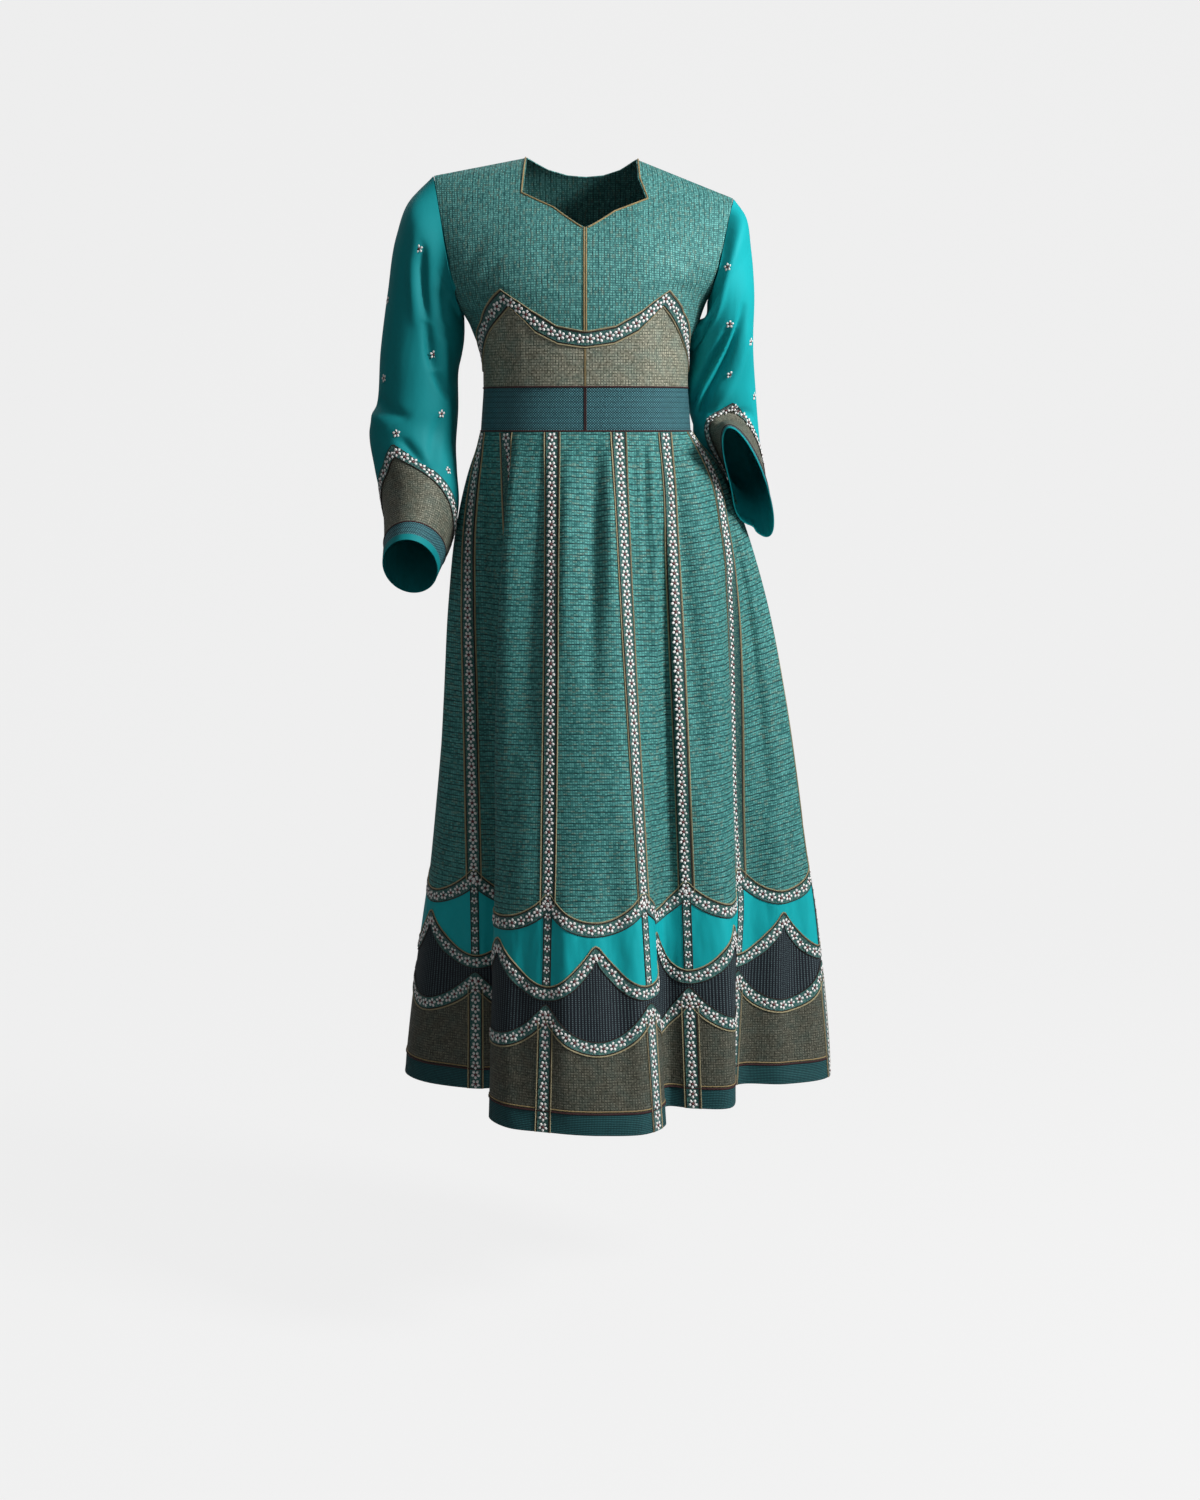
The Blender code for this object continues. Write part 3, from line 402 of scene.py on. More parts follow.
def blended(tree, share, first, second):
    """Colour that goes from the first to the second as share goes from 0 to 1."""
    node = tree.nodes.new("ShaderNodeMix")
    node.data_type = "RGBA"
    for socket, value in zip((node.inputs[0], node.inputs[6], node.inputs[7]),
                             (share, first, second)):
        if isinstance(value, bpy.types.NodeSocket):
            tree.links.new(value, socket)
        elif socket is node.inputs[0]:
            socket.default_value = value
        else:
            socket.default_value = (*value, 1.0)
    return node.outputs[2]


def speckle(tree, vector, scale, detail=2.0, stretch=(1.0, 1.0)):
    """Noise on the cloth's coordinates, stretched along one thread or the other."""
    mapping = tree.nodes.new("ShaderNodeMapping")
    mapping.inputs["Scale"].default_value = (*stretch, 1.0)
    tree.links.new(vector, mapping.inputs["Vector"])
    node = tree.nodes.new("ShaderNodeTexNoise")
    tree.links.new(mapping.outputs[0], node.inputs["Vector"])
    node.inputs["Scale"].default_value = scale
    node.inputs["Detail"].default_value = detail
    return node.outputs[0]


def cell_tone(tree, u, v, wide, high):
    """Number from 0 to 1 that each cell of the weave has of its own, cells wide by high metres."""
    place = tree.nodes.new("ShaderNodeCombineXYZ")
    for socket, along, pitch in ((0, u, wide), (1, v, high)):
        turns = socket_math(tree, "ADD", socket_math(tree, "DIVIDE", along, pitch), 0.5)
        tree.links.new(socket_math(tree, "FLOOR", turns), place.inputs[socket])
    node = tree.nodes.new("ShaderNodeTexWhiteNoise")
    tree.links.new(place.outputs[0], node.inputs["Vector"])
    return node.outputs["Value"]


def new_surface(name, roughness):
    """A new material with its node tree and its shader, which is given its roughness."""
    material = bpy.data.materials.new(name)
    material.use_nodes = True
    shader = material.node_tree.nodes["Principled BSDF"]
    shader.inputs["Roughness"].default_value = roughness
    return material, material.node_tree, shader


def raise_threads(tree, shader, height, depth):
    """Lets the light fall as if threads stood up by their height times the depth in metres."""
    bump = tree.nodes.new("ShaderNodeBump")
    bump.inputs["Distance"].default_value = depth
    tree.links.new(height, bump.inputs["Height"])
    tree.links.new(bump.outputs[0], shader.inputs["Normal"])


def finish_cloth(name, roughness, sheen, paint, metallic=0.0):
    """Cloth material: paint gives its colour and thread height from the weave coordinates, and
    how deep the threads are in metres."""
    material, tree, shader = new_surface(name, roughness)
    shader.inputs["Metallic"].default_value = metallic
    shader.inputs["Sheen Weight"].default_value = sheen
    shader.inputs["Sheen Roughness"].default_value = 0.4
    shader.inputs["Specular IOR Level"].default_value = 0.2
    place = tree.nodes.new("ShaderNodeUVMap")
    place.uv_map = "weave"
    split = tree.nodes.new("ShaderNodeSeparateXYZ")
    tree.links.new(place.outputs[0], split.inputs[0])
    colour, height, depth = paint(tree, place.outputs[0], split.outputs[0], split.outputs[1])
    tree.links.new(colour, shader.inputs["Base Color"])
    raise_threads(tree, shader, height, depth)
    return material


def toned(share, *colour):
    """A colour made darker or lighter: each of its numbers times the share."""
    return tuple(share * number for number in colour)


def brocade_paint(line_axis, dim, light, line, cell):
    """Basket brocade: dark dashed lines 6.8 mm apart, fine ones between them, and cells 3 mm high,
    each of its own tone from dim to light, a few of them tan. The lines are upright where
    line_axis is 0 and level where it is 1. Line and cell tell how dark the lines and the gaps
    between the cells are."""
    def paint(tree, place, u, v):
        main, fine = (u, v) if line_axis == 0 else (v, u)
        wander = speckle(tree, place, 70.0)
        main = socket_math(tree, "MULTIPLY_ADD", wander, 0.0022, main)
        fine = socket_math(tree, "MULTIPLY_ADD", wander, 0.0014, fine)
        lines = stripes(tree, main, 0.0068, 0.0016, 0.5)
        thin = stripes(tree, socket_math(tree, "ADD", main, 0.0034), 0.0068, 0.0010, 0.6)
        cells = stripes(tree, fine, 0.0030, 0.0011, 0.6)
        dashes = cell_tone(tree, main, fine, 0.0068, 0.0060)
        own = cell_tone(tree, main, fine, 0.0017, 0.0030)
        tan = between(tree, cell_tone(tree, fine, main, 0.0045, 0.0017), 0.84, 0.90)
        ground = blended(tree, own, dim, light)
        ground = blended(tree, socket_math(tree, "MULTIPLY", tan, 0.34), ground,
                         (0.260, 0.280, 0.190))
        strong = socket_math(tree, "MULTIPLY_ADD", dashes, 0.35, line)
        dark = socket_math(tree, "MAXIMUM", socket_math(tree, "MULTIPLY", lines, strong),
                           socket_math(tree, "MULTIPLY", cells, cell))
        dark = socket_math(tree, "MAXIMUM", dark, socket_math(tree, "MULTIPLY", thin, 0.45))
        colour = blended(tree, dark, ground, (0.007, 0.036, 0.040))
        return colour, socket_math(tree, "SUBTRACT", own, dark), 0.0004
    return paint


def olive_paint(painted_light_share):
    """Olive metallic cloth: a close mesh of threads 3.4 mm apart with a fine tone of its own in
    each cell and a slow teal cast. The share is painted light and shade: every colour of the
    cloth is multiplied by it, so each piece shows as lit or as shaded as the light on it."""
    def paint(tree, place, u, v):
        grid = socket_math(tree, "MAXIMUM",
                           socket_math(tree, "MULTIPLY", stripes(tree, u, 0.0034, 0.0011), 0.50),
                           socket_math(tree, "MULTIPLY", stripes(tree, v, 0.0034, 0.0011), 0.60))
        own = cell_tone(tree, u, v, 0.0017, 0.0017)
        teal = between(tree, speckle(tree, place, 60.0), 0.35, 0.75)
        ground = blended(tree, own, toned(painted_light_share, 0.170, 0.175, 0.125),
                         toned(painted_light_share, 0.560, 0.550, 0.420))
        ground = blended(tree, socket_math(tree, "MULTIPLY", teal, 0.22), ground,
                         toned(painted_light_share, 0.160, 0.400, 0.370))
        colour = blended(tree, grid, ground, toned(painted_light_share, 0.050, 0.056, 0.040))
        return colour, socket_math(tree, "SUBTRACT", own, grid), 0.0003
    return paint


def waistband_paint(tree, place, u, v):
    """Band weave: rows of small light teal diamonds on dark, 3.2 mm apart, with faint level lines
    6.4 mm apart."""
    slant = socket_math(tree, "ADD", u, v)
    counter = socket_math(tree, "SUBTRACT", u, v)
    dots = socket_math(tree, "MULTIPLY", stripes(tree, slant, 0.0032, 0.0019, 0.5),
                       stripes(tree, counter, 0.0032, 0.0019, 0.5))
    level = stripes(tree, v, 0.0064, 0.0012)
    own = cell_tone(tree, u, v, 0.0032, 0.0032)
    ground = blended(tree, own, (0.006, 0.030, 0.044), (0.014, 0.060, 0.078))
    colour = blended(tree, dots, ground, (0.100, 0.292, 0.320))
    colour = blended(tree, socket_math(tree, "MULTIPLY", level, 0.4), colour,
                     (0.004, 0.012, 0.020))
    return colour, dots, 0.0004


brocade = finish_cloth(
    "brocade", 0.6, 0.03,
    brocade_paint(0, (0.040, 0.180, 0.172), (0.150, 0.450, 0.415), 0.46, 0.62), 0.1)
# The olive is painted in three tones of one cloth: lightest here on the midriff, darker on the
# cuffs and darkest on the hem row, as painted light and shade.
olive = finish_cloth("olive_cloth", 0.5, 0.03, olive_paint(0.84), 0.15)
band_weave = finish_cloth("waistband_weave", 0.6, 0.02, waistband_paint, 0.1)


def dress_up(piece, material, slot, *nodes, inner=None):
    """Gives a piece its material, its body and the solids that it stands for; the slot is not
    used.
    """
    piece.data.materials.append(material)
    if inner is not None:
        piece.data.materials.append(inner)
        count = piece["inner_start"]
        which = np.zeros(len(piece.data.polygons), dtype=np.int32)
        which[count:2 * count] = 1
        piece.data.polygons.foreach_set("material_index", which)
    del piece["inner_start"]
    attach(piece, "root")
    if nodes:
        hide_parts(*nodes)


LEAST_STRIP = 0.0104
LEAST_AREA_SHARE = 0.31


def declare_cut(piece, points, held, with_pieces=()):
    """Works out the cut of a grid of cloth: its longest row, its longest column and its area,
    which is half the cross product of each cell's diagonals. Neither is taken under the least that
    a sheet may have. They are not kept or stated."""
    across = np.linalg.norm(np.diff(points, axis=1), axis=-1)
    down = np.linalg.norm(np.diff(points, axis=0), axis=-1)
    width, length = across.sum(axis=1).max(), max(down.sum(axis=0).max(), LEAST_STRIP)
    edge_a = points[1:, 1:] - points[:-1, :-1]
    edge_b = points[1:, :-1] - points[:-1, 1:]
    area = 0.5 * np.linalg.norm(np.cross(edge_a, edge_b), axis=-1).sum()
    area = float(np.clip(area, LEAST_AREA_SHARE * width * length, width * length))


bodice = {}
for name, half in HALVES.items():
    angle, z = fine_front(half, FINE)
    points, normals = body_cloth(half, angle, z, 1)
    normals[-1] = shoulder_normal(half)
    uv = body_weave(half, angle, z, 1)
    seam = sum(RIBBON_ROWS) * FINE // 2
    panels = [("waistband", slice(0, FINE + 1), band_weave, "waistband_weave"),
              ("midriff", slice(FINE, seam + 1), olive, "olive_cloth"),
              ("yoke", slice(seam, None), brocade, "teal_brocade")]
    for panel, rows, material, slot in panels:
        piece = make_cloth(f"{panel}_{name}_cloth", points[rows], normals[rows], uv[rows],
                           BROCADE_THICK)
        dress_up(piece, material, slot, f"{panel}_{name}")
        bodice[panel, name] = piece, points[rows]


def back_half(half):
    """Points and normals of one half of the back, from the centre to the side, and their cloth
    coordinates."""
    columns = front_table(half)[0].shape[1]
    side_z = side_rows(half)
    neck_x, neck_z = half["neck"]
    neck_share = np.arange(BACK_NECK_COLUMNS) / BACK_NECK_COLUMNS
    top_x = neck_x + (half["tip"][0] - neck_x) * np.linspace(0.0, 1.0, columns)
    top_x = np.concatenate([neck_share * neck_x, top_x])
    low_neck = BACK_NECK + (neck_z - BACK_NECK) * neck_share ** BACK_NECK_POWER
    top_z = np.concatenate([low_neck, shoulder_height(half, top_x[BACK_NECK_COLUMNS:])])
    share = top_x / top_x[-1]
    angles, heights = [], []
    for row, z_side in enumerate(side_z):
        z, end = np.full(len(share), z_side), 0.5 * np.pi
        if row > UNDERARM_ROW:
            low = side_z[UNDERARM_ROW]
            z = low + (top_z - low) * ((z_side - low) / (side_z[-1] - low))
            end = body_angle(half, armhole_x(half, z[-1]), z[-1])
        angle = end * share
        if row == len(side_z) - 1:
            angle = body_angle(half, top_x, top_z)
        angles.append(angle)
        heights.append(z)
    angle, z = refined(np.array(angles), FINE), refined(np.array(heights), FINE)
    points, normals = body_cloth(half, angle, z, 2)
    normals[-1, BACK_NECK_COLUMNS * FINE:] = shoulder_normal(half)
    return points, normals, body_weave(half, angle, z, 2)


# Near the centre of the back each half goes over into the mirrored other half
MIRROR = np.array([-1.0, 1.0, 1.0])
left_back, right_back = back_half(HALVES["left"]), back_half(HALVES["right"])
reach = np.clip(np.abs(right_back[0][..., :1]) / BACK_BLEND, 0.0, 1.0)
own = 0.5 + 0.5 * reach ** 2 * (3.0 - 2.0 * reach)
left_mix = [own * a + (1.0 - own) * b * MIRROR for a, b in zip(left_back[:2], right_back[:2])]
right_mix = [own * b + (1.0 - own) * a * MIRROR for a, b in zip(left_back[:2], right_back[:2])]
points, normals, uv = [np.concatenate([a[:, :0:-1], b], axis=1) for a, b in
                       zip(left_mix + [left_back[2]], right_mix + [right_back[2]])]
normals = unit(normals)
for panel, rows, material, slot, node in [
        ("waistband_back_cloth", slice(0, FINE + 1), band_weave, "waistband_weave",
         "waistband_back"),
        ("bodice_back_cloth", slice(FINE, None), brocade, "teal_brocade", "bodice_back")]:
    piece = make_cloth(panel, points[rows], normals[rows], uv[rows], BROCADE_THICK)
    dress_up(piece, material, slot, node)
    bodice[node, "back"] = piece, points[rows]
back_points, back_normals = points, normals

# Daisy ribbon: an embroidered ribbon with dark woven edges, laid beside gold cords and sewn over
# the seams. White five petalled flowers with dark red centres stand on its teal ground.
RIBBON_LAY = 0.0016
FLOWER_SIZE = 0.0128
FLOWER_PITCH = 0.0119
FLOWER_LIFT = 0.0005
PETALS = 5
# Shares of a flower's size: its heart, its petals, and how far the domes narrow to their tops
HEART_HALF = 0.17
HEART_RISE = 0.080
PETAL_REACH = 0.31
PETAL_HALVES = (0.185, 0.155)
PETAL_RISE = 0.060
DOME = 0.62
RIBBON_FINE = 12
GOLD_SIDE = [(0.0103, 0.0005), (0.0100, 0.0012), (0.0094, 0.0012), (0.0090, 0.0005)]
DARK_SIDE = [(0.0084, 0.0005), (0.0079, 0.0009), (0.0071, 0.0009), (0.0066, 0.0005),
             (0.0033, 0.0006)]
NARROW_SIDE = [(0.0056, 0.0004), (0.0052, 0.0007), (0.0046, 0.0007), (0.0042, 0.0004)]


def ribbon_profile(gold_up, gold_down, narrow=False):
    """Offsets across a ribbon and heights over the cloth, from its lower to its upper edge."""
    side = NARROW_SIDE if narrow else DARK_SIDE
    down = (GOLD_SIDE if gold_down else []) + side
    up = (GOLD_SIDE if gold_up else []) + side
    return np.array([(-a, h) for a, h in down] + [(0.0, 0.0006)] + up[::-1])


def ribbon_paint(dark_from, dark_to):
    """Ribbon colours by the distance from its middle: teal ground with green leaf flecks, a dark
    brown edge from dark_from to dark_to, and gold cord outside it."""
    def paint(tree, place, u, v):
        away = socket_math(tree, "ABSOLUTE", u)
        leaves = between(tree, speckle(tree, place, 420.0, detail=1.0), 0.48, 0.60)
        pale = between(tree, speckle(tree, place, 760.0, detail=2.0), 0.58, 0.68)
        ground = blended(tree, leaves, (0.020, 0.095, 0.097), (0.070, 0.180, 0.145))
        ground = blended(tree, socket_math(tree, "MULTIPLY", pale, 0.6), ground,
                         (0.300, 0.420, 0.360))
        edge = between(tree, away, dark_from - 0.0002, dark_from + 0.0002)
        colour = blended(tree, edge, ground, (0.020, 0.011, 0.008))
        twist = stripes(tree, socket_math(tree, "ADD", u, v), 0.0012, 0.0006, 0.9)
        gold = blended(tree, twist, (0.190, 0.155, 0.075), (0.470, 0.410, 0.250))
        cord = between(tree, away, dark_to, dark_to + 0.0003)
        colour = blended(tree, cord, colour, gold)
        return colour, twist, 0.0003
    return paint


ribbon_cloth = finish_cloth("daisy_ribbon", 0.6, 0.15, ribbon_paint(0.0071, 0.0085))
narrow_ribbon = finish_cloth("narrow_daisy_ribbon", 0.6, 0.15, ribbon_paint(0.0043, 0.0070))


def plain_thread(name, colour, roughness):
    """Embroidery thread: one colour, a little uneven, with the fine ridges of satin stitch."""
    material, tree, shader = new_surface(name, roughness)
    shader.inputs["Sheen Weight"].default_value = 0.2
    place = tree.nodes.new("ShaderNodeTexCoord")
    noise = tree.nodes.new("ShaderNodeTexNoise")
    noise.inputs["Scale"].default_value = 700.0
    tree.links.new(place.outputs["Object"], noise.inputs["Vector"])
    uneven = blended(tree, noise.outputs[0], toned(0.86, *colour), colour)
    tree.links.new(uneven, shader.inputs["Base Color"])
    raise_threads(tree, shader, noise.outputs[0], 0.0002)
    return material


petal_thread = plain_thread("petal_thread", (0.80, 0.78, 0.76), 0.5)
heart_thread = plain_thread("flower_heart_thread", (0.110, 0.020, 0.022), 0.55)


def run_along(points):
    """Lengths along a line of points, from 0 at its first."""
    steps = np.linalg.norm(np.diff(points, axis=0), axis=-1)
    return np.concatenate([[0.0], np.cumsum(steps)])


def make_ribbon(name, at, profile, around=False):
    """Ribbon over the cloth: at(offset) gives the cloth's points and normals a way beside the
    ribbon's centre line, for each offset of the profile."""
    strips = [at(offset) for offset in profile[:, 0]]
    points = np.stack([strip[0] for strip in strips], axis=0)
    normals = np.stack([strip[1] for strip in strips], axis=0)
    run = run_along(points[len(profile) // 2])
    uv = np.stack(np.broadcast_arrays(profile[:, :1], run[None]), axis=-1)
    return make_cloth(name, points, normals, uv, profile[:, 1:], RIBBON_LAY, around)


def flower_spots(points, normals):
    """Places, normals and directions at even steps along a line of points."""
    run = run_along(points)
    count = max(int(run[-1] / FLOWER_PITCH), 1)
    at = (np.arange(count) + 0.5) * run[-1] / count
    place = np.stack([np.interp(at, run, points[:, k]) for k in range(3)], axis=-1)
    up = unit(np.stack([np.interp(at, run, normals[:, k]) for k in range(3)], axis=-1))
    ahead = unit(np.gradient(points, axis=0))
    along = unit(np.stack([np.interp(at, run, ahead[:, k]) for k in range(3)], axis=-1))
    return place, up, along


def make_flowers(name, spots, size=FLOWER_SIZE, lift=FLOWER_LIFT):
    """Flowers joined in one mesh: five low domed petals round a domed heart, each a ring of six
    points with a raised middle over a flat base."""
    place, up, along = [np.concatenate(parts) for parts in zip(*spots)]
    side = unit(np.cross(up, along))
    ring = np.arange(6) * np.pi / 3.0
    shapes = [(0.0, 0.0, HEART_HALF, HEART_HALF, 0.0, HEART_RISE)]
    for k in range(PETALS):
        turn = k * 2.0 * np.pi / PETALS
        shapes.append((PETAL_REACH * np.cos(turn), PETAL_REACH * np.sin(turn), *PETAL_HALVES,
                       turn, PETAL_RISE))
    local, faces, which = [], [], []
    for x, y, long, wide, turn, rise in shapes:
        px, py = long * np.cos(ring), wide * np.sin(ring)
        rim = np.stack([x + px * np.cos(turn) - py * np.sin(turn),
                        y + px * np.sin(turn) + py * np.cos(turn), 0.0 * ring], axis=-1)
        top = rim * [DOME, DOME, 1.0] + [(1.0 - DOME) * x, (1.0 - DOME) * y, rise]
        first = len(local) * 12
        local.append(np.concatenate([rim, top]))
        for j in range(6):
            k = (j + 1) % 6
            faces.append((first + j, first + k, first + 6 + k, first + 6 + j))
            which.append(0 if len(local) > 1 else 1)
        faces += [tuple(first + 6 + j for j in range(6)), tuple(first + 5 - j for j in range(6))]
        which += [0 if len(local) > 1 else 1] * 2
    local = np.concatenate(local) * size
    world = (place[:, None] + up[:, None] * (local[None, :, 2:] + RIBBON_LAY + lift)
             + along[:, None] * local[None, :, :1] - side[:, None] * local[None, :, 1:2])
    count = len(local)
    sizes = np.array([len(face) for face in faces])
    corners = np.concatenate([np.array(face) for face in faces])
    every = (corners[None] + count * np.arange(len(place))[:, None]).ravel()
    mesh = bpy.data.meshes.new(name)
    mesh.vertices.add(world.shape[0] * count)
    mesh.vertices.foreach_set("co", world.ravel())
    mesh.loops.add(len(every))
    mesh.loops.foreach_set("vertex_index", every.astype(np.int32))
    mesh.polygons.add(len(faces) * len(place))
    starts = np.concatenate([[0], np.cumsum(np.tile(sizes, len(place)))[:-1]])
    mesh.polygons.foreach_set("loop_start", starts.astype(np.int32))
    mesh.polygons.foreach_set("material_index", np.tile(which, len(place)).astype(np.int32))
    mesh.update(calc_edges=True)
    mesh.validate()
    mesh.materials.append(petal_thread)
    mesh.materials.append(heart_thread)
    piece = placed(name, mesh)
    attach(piece, "root")
    return piece


for name, half in HALVES.items():
    fine_angle, fine_z = fine_front(half, RIBBON_FINE)
    low_row, high_row = [row * RIBBON_FINE for row in RIBBON_ROWS]
    angle = 0.5 * (fine_angle[low_row] + fine_angle[high_row])
    middle = 0.5 * (fine_z[low_row] + fine_z[high_row])
    slant = (fine_z[high_row] - fine_z[low_row]) / RIBBON_WIDTH

    def beside(offset, half=half, angle=angle, middle=middle, slant=slant):
        return body_cloth(half, angle, middle + offset * slant, 1)
    piece = make_ribbon(f"scallop_ribbon_{name}_cloth", beside, ribbon_profile(True, True))
    dress_up(piece, ribbon_cloth, "daisy_ribbon", f"scallop_ribbon_{name}")
    flowers = make_flowers(f"scallop_flowers_{name}", [flower_spots(*beside(0.0))])
    yoke, yoke_points = bodice["yoke", name]
    declare_cut(yoke, yoke_points, "hung", [piece, flowers])
    for panel in ("midriff", "waistband"):
        cloth, cloth_points = bodice[panel, name]
        declare_cut(cloth, cloth_points, "hung")
for node in ("waistband_back", "bodice_back"):
    cloth, cloth_points = bodice[node, "back"]
    declare_cut(cloth, cloth_points, "hung")

# Piping: narrow twisted cords sewn into the neckline, down the centre front and along both edges
# of the waistband. They are gold brown, and dark red on the waistband.
PIPING_RADIUS = 0.0011
PIPING_LIFT = 0.0016
BAND_PIPING_LIFT = 0.0015
PIPING_FINE = 6
NECK_PIPING_TURN = 0.010
OFF_RIBBON = 0.010


def cord_paint(first, second):
    """Twisted cord: two tones in slanting turns 1.1 mm apart."""
    def paint(tree, place, u, v):
        twist = stripes(tree, socket_math(tree, "ADD", u, v), 0.0011, 0.0006, 0.9)
        return blended(tree, twist, first, second), twist, 0.0002
    return paint


gold_cord = finish_cloth("gold_piping", 0.45, 0.1,
                         cord_paint((0.140, 0.088, 0.034), (0.420, 0.320, 0.150)))
dark_cord = finish_cloth("dark_piping", 0.6, 0.1,
                         cord_paint((0.020, 0.007, 0.008), (0.060, 0.020, 0.020)))
FRONT_CORDS = [
    # name, top, low, radius, way from the centre line, cord
    ("front_piping", NECK_NOTCH, SCALLOP_CENTRE + OFF_RIBBON, 0.0010, 0.0013, gold_cord),
    ("front_cord", SCALLOP_CENTRE - OFF_RIBBON, WAISTBAND_TOP, 0.0005, 0.0006, gold_cord),
    ("band_cord", WAISTBAND_TOP, WAISTBAND_LOW, 0.0008, 0.0009, dark_cord),
]


def make_piping(name, points, normals, radius, lift, material, nodes=(), around=False):
    """Round cord along a line of points, lifted off the cloth: a ring of eight points turned
    round the line at each point, with closed ends."""
    ahead = unit(np.gradient(points, axis=0))
    if around:
        ahead[0] = ahead[-1] = unit(points[1] - points[-2])
    side = unit(np.cross(ahead, normals))
    up = unit(np.cross(side, ahead))
    turn = np.arange(9) * np.pi / 4.0
    spokes = (side[:, None] * np.cos(turn)[None, :, None]
              + up[:, None] * np.sin(turn)[None, :, None])
    centre = points + normals * lift
    rings = centre[:, None] + radius * spokes
    rings[:, -1] = rings[:, 0]
    count = len(points) - 1 if around else len(points)
    vertices = rings[:count, :8].reshape(-1, 3)
    index = (np.arange(len(points)) % count)[:, None] * 8 + np.arange(9)[None] % 8
    faces = np.stack([index[:-1, :-1], index[1:, :-1], index[1:, 1:], index[:-1, 1:]], -1)
    run = run_along(points)
    uv = np.stack(np.broadcast_arrays((turn * radius)[None], run[:, None]), axis=-1)
    corners = np.stack([uv[:-1, :-1], uv[1:, :-1], uv[1:, 1:], uv[:-1, 1:]], -2)
    faces = faces.reshape(-1, 4).tolist()
    corners = corners.reshape(-1, 2)
    if not around:
        faces += [list(range(8)), [8 * count - 1 - k for k in range(8)]]
        corners = np.concatenate([corners, np.zeros((16, 2))])
    mesh = bpy.data.meshes.new(name)
    mesh.from_pydata(vertices.tolist(), [], faces)
    mesh.uv_layers.new(name="weave").data.foreach_set("uv", corners.ravel())
    mesh.shade_smooth()
    mesh.set_sharp_from_angle(angle=np.radians(60.0))
    mesh.materials.append(material)
    piece = placed(name, mesh)
    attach(piece, "root")
    if nodes:
        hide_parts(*nodes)
    return piece


for name, half in HALVES.items():
    neck_angle, neck_z = [table[NOTCH_ROW * PIPING_FINE:, 0]
                          for table in fine_front(half, PIPING_FINE)]
    points, normals = body_cloth(half, neck_angle + NECK_PIPING_TURN, neck_z, 1)
    normals[-1] = shoulder_normal(half)
    make_piping(f"neck_piping_{name}", points, normals, PIPING_RADIUS, PIPING_LIFT, gold_cord,
                (f"piping_{name}",))
    for cord, top, low, radius, aside, material in FRONT_CORDS:
        z = np.linspace(top, low, 24)
        points, normals = body_cloth(half, body_angle(half, aside, z), z, 1)
        make_piping(f"{cord}_{name}", points, normals, radius, PIPING_LIFT, material)
for edge, row in (("top", FINE), ("low", 0)):
    for name, half in HALVES.items():
        angle, z = fine_front(half, FINE)
        points, normals = body_cloth(half, angle[row], z[row], 1)
        make_piping(f"waistband_{edge}_cord_{name}", points, normals, PIPING_RADIUS,
                    BAND_PIPING_LIFT, dark_cord)
    make_piping(f"waistband_{edge}_cord_back", back_points[row], back_normals[row], PIPING_RADIUS,
                BAND_PIPING_LIFT, dark_cord)

# Sleeves: teal crepe satin with a few single sewn flowers, set in at the armholes. Each ends in an
# olive pointed cuff with a daisy ribbon over its edge, a dark woven band and a teal facing that
# turns to the inside.
SATIN_THICK = 0.0011
SLEEVE_RINGS = {
    "left": np.array([
        # centre x, y, z, outer x, y, z, front x, y, z
        (-0.1860, 0.000, -0.1300, -0.0326, 0.000, 0.0750, 0.000, -0.0580, 0.000),
        (-0.1940, 0.000, -0.1555, -0.0407, 0.000, 0.0595, 0.000, -0.0580, 0.000),
        (-0.2008, 0.000, -0.1998, -0.0458, 0.000, 0.0352, 0.000, -0.0570, 0.000),
        (-0.2090, 0.000, -0.2480, -0.0475, 0.000, 0.0140, 0.000, -0.0560, 0.000),
        (-0.2125, 0.000, -0.3090, -0.0500, 0.000, 0.0050, 0.000, -0.0550, 0.003),
        (-0.2190, 0.000, -0.3450, -0.0535, 0.000, 0.0065, 0.000, -0.0560, 0.012),
        (-0.2148, -0.010, -0.3850, -0.0508, 0.000, 0.0000, 0.000, -0.0550, 0.020),
        (-0.2080, -0.030, -0.4280, -0.0470, 0.000, 0.0000, 0.000, -0.0540, 0.028),
        (-0.2100, -0.058, -0.4680, -0.0400, 0.000, 0.0020, 0.000, -0.0510, 0.034),
        (-0.2170, -0.085, -0.5030, -0.0330, 0.000, 0.0000, 0.000, -0.0485, 0.0355),
    ]),
    "right": np.array([
        (0.1756, -0.002, -0.1330, 0.0226, 0.003, 0.0610, 0.000, -0.0560, 0.000),
        (0.1750, -0.004, -0.1600, 0.0305, 0.002, 0.0470, 0.000, -0.0550, 0.000),
        (0.1738, 0.004, -0.1930, 0.0358, -0.012, 0.0290, 0.000, -0.0530, 0.000),
        (0.1706, 0.020, -0.2350, 0.0392, -0.015, 0.0110, 0.000, -0.0500, 0.002),
        (0.1735, 0.044, -0.2850, 0.0433, 0.006, 0.0020, -0.006, -0.0500, 0.004),
        (0.1860, 0.062, -0.3500, 0.0380, 0.010, 0.0000, -0.014, -0.0430, 0.033),
        (0.2005, -0.005, -0.3805, 0.0235, 0.005, -0.0030, -0.021, -0.0390, 0.052),
        (0.2040, -0.042, -0.4020, 0.0280, 0.010, -0.0190, -0.020, -0.0480, 0.066),
    ]),
}
SLEEVE_CLEAR_TOP = 0.0008
SLEEVE_CLEAR_UNDERARM = 0.0050
CUFF_EDGE = 0.009
CUFF_BAND = 0.028
CUFF_POINT_LOW = 0.038
CUFF_POINT_HIGH = 0.148
CUFF_POINT_CURVE = 1.4
CUFF_POINT_ANGLE = np.radians(66.0)
CUFF_CORD_RADIUS = 0.0009
SPRIG_SIZE = 0.0112
SPRIG_LIFT = -0.0004
SPRIG_FACING = (0.3, 0.2, 1.0)
GIRTH_PER_RADIAN = 0.052
CREASE_START = 0.02
LENGTH_STEP = 0.01
TURN_STEP = 0.04
